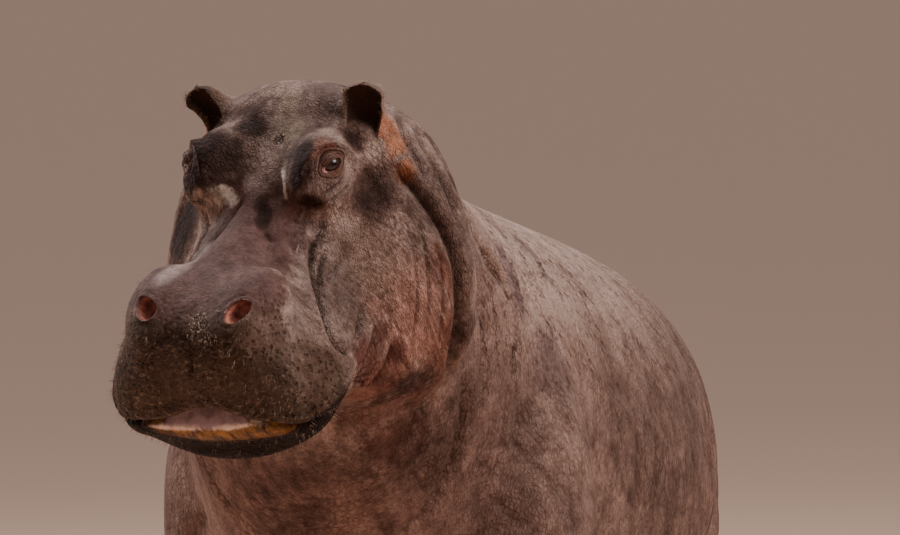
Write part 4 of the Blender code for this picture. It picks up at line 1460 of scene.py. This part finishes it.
# %% Relief and shine
height = large * wrinkled * patchy * (1 - lined * 0.75) * 0.50 + small * wrinkled * 0.35
height = height + fine * 0.55 + grain * 0.16 + pits * pitted * 1.4
height = height + mottle(80, 5, 0.8, where=stretched(face_spot, 0.7, 1.0, 1.3), seed=13.0) * pitted * 2.4
height = height - hairlines * 1.5 - scratches * marked("dusty") * 0.7
bump = start.node("ShaderNodeBump", None, {"Height": height, "Strength": 1.0, "Distance": 0.0036})
feed(shader, "Normal", bump)
wet = mottle(8, 4, 0.55, seed=11.0).step(0.35, 0.65)
rough = 0.72 - 0.12 * wet - 0.04 * marked("mauve") + 0.1 * marked("dark") + (fine - 0.5) * 0.3
rough = rough - 0.3 * marked("nostril") - 0.12 * marked("amber") - 0.25 * marked("gum")
rough = rough - 0.12 * marked("pale") + 0.1 * marked("dusty")
feed(shader, "Roughness", start.node("ShaderNodeClamp", None, {"Value": rough, "Min": 0.2, "Max": 0.9}))
coat = 0.12 * marked("wet") + 0.15 * marked("streak") + 0.12 * marked("gum") + 0.2 * marked("nostril")
feed(shader, "Coat Weight", coat + 0.07 * marked("lid") + 0.06 * marked("amber"))
shader.inputs["Coat Roughness"].default_value = 0.35
shader.inputs["Specular IOR Level"].default_value = 0.03
skin.data.materials.append(hide)
print("hide finished with", len(hide.node_tree.nodes), "nodes")

# %% [markdown]
# ## Eyeballs
#
# An eye looks alive because it is wet: a smooth ball with a sharp highlight, dark brown, with a pupil that
# lies level. A number on each point says how far it is from the pupil, and the finish steps from pupil
# to iris to the reddish white by that number. It's the only glossy thing on the animal.

# %% Two wet eyes
def eyeball(side, name):
    centre, gaze, long, tall = gaze_axes(side)
    turn = Matrix((long, tall, gaze)).transposed().to_4x4()
    shape = bmesh.new()
    bmesh.ops.create_uvsphere(shape, u_segments=64, v_segments=48, radius=EYE_RADIUS,
                              matrix=Matrix.Translation(centre) @ turn)
    made = put(shape, name)
    made.data.shade_smooth()
    place = (points_of(made.data) - np.array(centre)) @ np.array(turn.to_3x3()) / EYE_RADIUS
    from_pupil = made.data.attributes.new("from_pupil", "FLOAT", "POINT")
    slot = np.hypot(place[:, 0] * 0.75, place[:, 1])
    from_pupil.data.foreach_set("value", np.where(place[:, 2] > 0, slot, 1.0).astype(np.float32))
    return made


wet, start, shader = finish("wet eye", Roughness=0.10, Specular_IOR_Level=0.25)
out = start.node("ShaderNodeAttribute", {"attribute_name": "from_pupil"}, output=2)
fibres = start.node("ShaderNodeTexNoise", None, {"Scale": 420.0, "Detail": 3.0})
iris = fibres.colour((0.007, 0.003, 0.002), (0.022, 0.009, 0.005))
iris = out.step(0.22, 0.27).colour((0.003, 0.002, 0.002), iris)
white = fibres.colour((0.044, 0.018, 0.013), (0.088, 0.044, 0.034))
feed(shader, "Base Color", out.step(0.52, 0.60).colour(iris, white))
for side, word in ((1, "left"), (-1, "right")):
    ball = eyeball(side, "eyeball_" + word)
    ball.data.materials.append(wet)
    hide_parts("eye_" + word)
    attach(ball, "root")
    print(ball.name, len(ball.data.polygons), "faces")

# %% [markdown]
# ## Toenails
#
# Sixteen blunt nails sit at the fronts of the toes. Each is a ball squared off a little and worn flat below,
# and together they are one mesh. Its finish is horn: growth lines run across it, drawn by a stretched noise.

# %% Toenails
NAIL_RADII = (0.021, 0.013, 0.026)


def nail(shape, middle, degrees, side):
    angle = math.radians(degrees)
    ahead = Vector((side * math.sin(angle), -math.cos(angle), 0))
    place = BODY @ Matrix.Translation(middle + ahead * 0.058 + Vector((0, 0, -0.008)))
    place = place @ Matrix.Rotation(side * angle, 4, "Z") @ Matrix.Rotation(math.radians(-14), 4, "X")
    ball = bmesh.ops.create_uvsphere(shape, u_segments=28, v_segments=20, radius=1.0)["verts"]
    for point in ball:
        swell = sum(abs(v) ** power for v, power in zip(point.co, (2.6, 2.2, 2.6))) ** (-1 / 2.5)
        point.co = place @ Vector([v * swell * radius for v, radius in zip(point.co, NAIL_RADII)])
        point.co.z = max(point.co.z, 0.002)


shape = bmesh.new()
for _, rows, side, stride in LEGS:
    for middle, degrees in toe_places(rows, side, stride):
        nail(shape, middle, degrees, side)
nails = put(shape, "toenails")
nails.data.shade_smooth()
horn, start, shader = finish("horn", Roughness=0.42)
spot = start.node("ShaderNodeTexCoord", output=3)
lines = start.node("ShaderNodeVectorMath", {"operation": "MULTIPLY"}, {0: spot, 1: (0.2, 0.2, 1.0)})
lines = start.node("ShaderNodeTexNoise", None, {"Vector": lines, "Scale": 260.0, "Detail": 3.0})
feed(shader, "Base Color", lines.step(0.3, 0.7).colour((0.060, 0.040, 0.030), (0.170, 0.125, 0.095)))
bump = start.node("ShaderNodeBump", None, {"Height": lines, "Strength": 0.5, "Distance": 0.001})
feed(shader, "Normal", bump)
nails.data.materials.append(horn)
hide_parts(*[name for name in frame["nodes"] if name.startswith("nail")])
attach(nails, "root")
print("toenails:", len(nails.data.polygons), "faces")

# %% [markdown]
# ## Bristles
#
# A hippopotamus is all but bald. Stiff pale bristles stand in small tufts on the muzzle and chin, short hairs
# fringe the ears, and the tail ends in a flat brush. Roots are drawn at random from a fixed seed, on faces
# of the skin where a weight is high, and each hair is a thin three-sided spike that bends with gravity.

# %% Bristles
PATCH = 0.003  # how much of the skin's own map a tuft takes up


def sown(weight, count, seed):
    """Random roots on the skin: (place, normal, spot on the skin's own map), more where weight is high."""
    mesh = skin.data
    weight_at = weight.astype(float)
    faces = [face for face in mesh.polygons if weight_at[face.vertices[0]] > 0.05]
    shares = [face.area * weight_at[face.vertices[0]] for face in faces]
    chance = random.Random(seed)
    layout = mesh.uv_layers["OFBake"].data
    for face in chance.choices(faces, shares, k=count):
        mix = [chance.random() + 0.05 for _ in face.vertices]
        total = sum(mix)
        place = sum((mesh.vertices[v].co * m for v, m in zip(face.vertices, mix)), Vector()) / total
        corners = zip(face.loop_indices, mix)
        flat = sum((Vector(layout[corner].uv) * m for corner, m in corners), Vector((0, 0))) / total
        yield place, face.normal.copy(), flat, chance


def bristles(name, weight, tufts, hairs, length, radius, seed, tint, lean=(0, 0, -0.4), steps=4):
    """Tufts of bent three-sided spikes, rooted where the weight is high."""
    shape = bmesh.new()
    layer = shape.loops.layers.uv.new("OFBake")
    for root, normal, flat, chance in sown(weight, tufts, seed):
        for _ in range(hairs):
            stray = Vector((chance.gauss(0, 1), chance.gauss(0, 1), chance.gauss(0, 1)))
            grow = (normal + 0.22 * stray + 0.5 * Vector(lean)).normalized()
            long = length * chance.uniform(0.55, 1.15)
            start_at = root + 0.0015 * stray - normal * 0.002
            wide = grow.orthogonal().normalized()
            rings = []
            for step in range(steps + 1):
                t = step / steps
                middle = start_at + grow * (long * t) + Vector(lean) * (0.35 * long * t * t)
                thick = radius * (1 - 0.85 * t)
                rings.append([
                    shape.verts.new(middle + Matrix.Rotation(math.tau * i / 3, 3, grow) @ wide * thick)
                    for i in range(3)])
            for step, (near, far) in enumerate(zip(rings, rings[1:])):
                for i in range(3):
                    j = (i + 1) % 3
                    face = shape.faces.new((near[i], near[j], far[j], far[i]))
                    grid = ((i, step), (i + 1, step), (i + 1, step + 1), (i, step + 1))
                    for corner, (u, v) in zip(face.loops, grid):
                        corner[layer].uv = flat + Vector((u / 3 - 0.5, v / steps - 0.5)) * PATCH
            tip = shape.faces.new(rings[-1])
            for corner in tip.loops:
                corner[layer].uv = flat + Vector((0, PATCH / 2))
    made = put(shape, name)
    made.data.materials.append(tint)
    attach(made, "root")
    print(name, len(made.data.polygons), "faces")


def hair_finish(name, root, tip):
    made, start, shader = finish(name, Roughness=0.55)
    spot = start.node("ShaderNodeTexCoord", output=3)
    mix = start.node("ShaderNodeTexNoise", None, {"Vector": spot, "Scale": 90.0})
    feed(shader, "Base Color", mix.step(0.35, 0.65).colour(root, tip))
    return made


straw = hair_finish("straw bristle", (0.090, 0.056, 0.036), (0.25, 0.175, 0.125))
sable = hair_finish("dark bristle", (0.020, 0.012, 0.009), (0.075, 0.045, 0.032))
_, head_y, head_z = clay.head.T
bare = np.clip(clay.marks["nostril"] + clay.marks["gum"] + clay.marks["amber"], 0, 1)
pad = clay.marks["pits"] * (1 - bare) * (head_z > -0.300)
bristles("muzzle_bristles", pad, 520, 2, 0.012, 0.00038, 11, straw)
bristles("chin_bristles", clay.marks["chin"] * (head_y < -0.30), 80, 2, 0.012, 0.00038, 12, straw)
bristles("ear_fringe", clay.marks["ear_rim"] ** 3, 320, 2, 0.009, 0.00038, 13, straw, lean=(0, -0.1, 0.5))
tail_end = (clay.body[:, 1] > 1.80) * (clay.body[:, 2] < 0.72) * (clay.body[:, 2] > 0.50)
bristles("tail_brush", tail_end, 220, 4, 0.055, 0.0009, 14, sable, lean=(0, 0.1, -1.6))

# %% [markdown]
# ## Floor and light
#
# A plain floor and three large soft lamps are enough. The broad lamp from the animal's left models the
# cheek, the one overhead lights the back, and the third draws a thin edge on the far side. The floor has a
# warm tone because its bounce is what fills the throat and the underside of the lips.

# %% Stage
def plane(name, size, place, colour):
    shape = bmesh.new()
    bmesh.ops.create_grid(shape, x_segments=1, y_segments=1, size=size, matrix=Matrix.Translation(place))
    made = put(shape, name)
    paint, _, shader = finish(name, Roughness=0.8)
    shader.inputs["Base Color"].default_value = (*colour, 1)
    made.data.materials.append(paint)


def lamp(name, place, aim, size, power):
    """A square lamp of a size in metres and a power in watts, turned towards a point."""
    light = bpy.data.lights.new(name, "AREA")
    light.size = size
    light.energy = power
    light.color = (1.0, 0.975, 0.96)
    made = bpy.data.objects.new(name, light)
    place, aim = Vector(place), Vector(aim)
    made.matrix_world = Matrix.Translation(place) @ (place - aim).to_track_quat("Z", "Y").to_matrix().to_4x4()
    bpy.context.scene.collection.objects.link(made)


plane("floor", 120, (0, 0, 0), (0.84, 0.555, 0.425))
world = bpy.data.worlds.new("soft room")
world.use_nodes = True
world.node_tree.nodes["Background"].inputs[0].default_value = (1.0, 0.95, 0.92, 1)
world.node_tree.nodes["Background"].inputs[1].default_value = 0.34
bpy.context.scene.world = world
lamp("overhead", (-0.8, 0.6, 4.6), (0, -0.4, 1.2), 3.0, 260)
lamp("side", (4.6, -2.0, 4.5), (0.2, -0.4, 1.1), 3.4, 600)
lamp("rim", (-4.5, 0.6, 3.6), (0, -1.0, 1.3), 2.0, 400)
print("lamps:", [(light.name, light.energy) for light in bpy.data.lights])
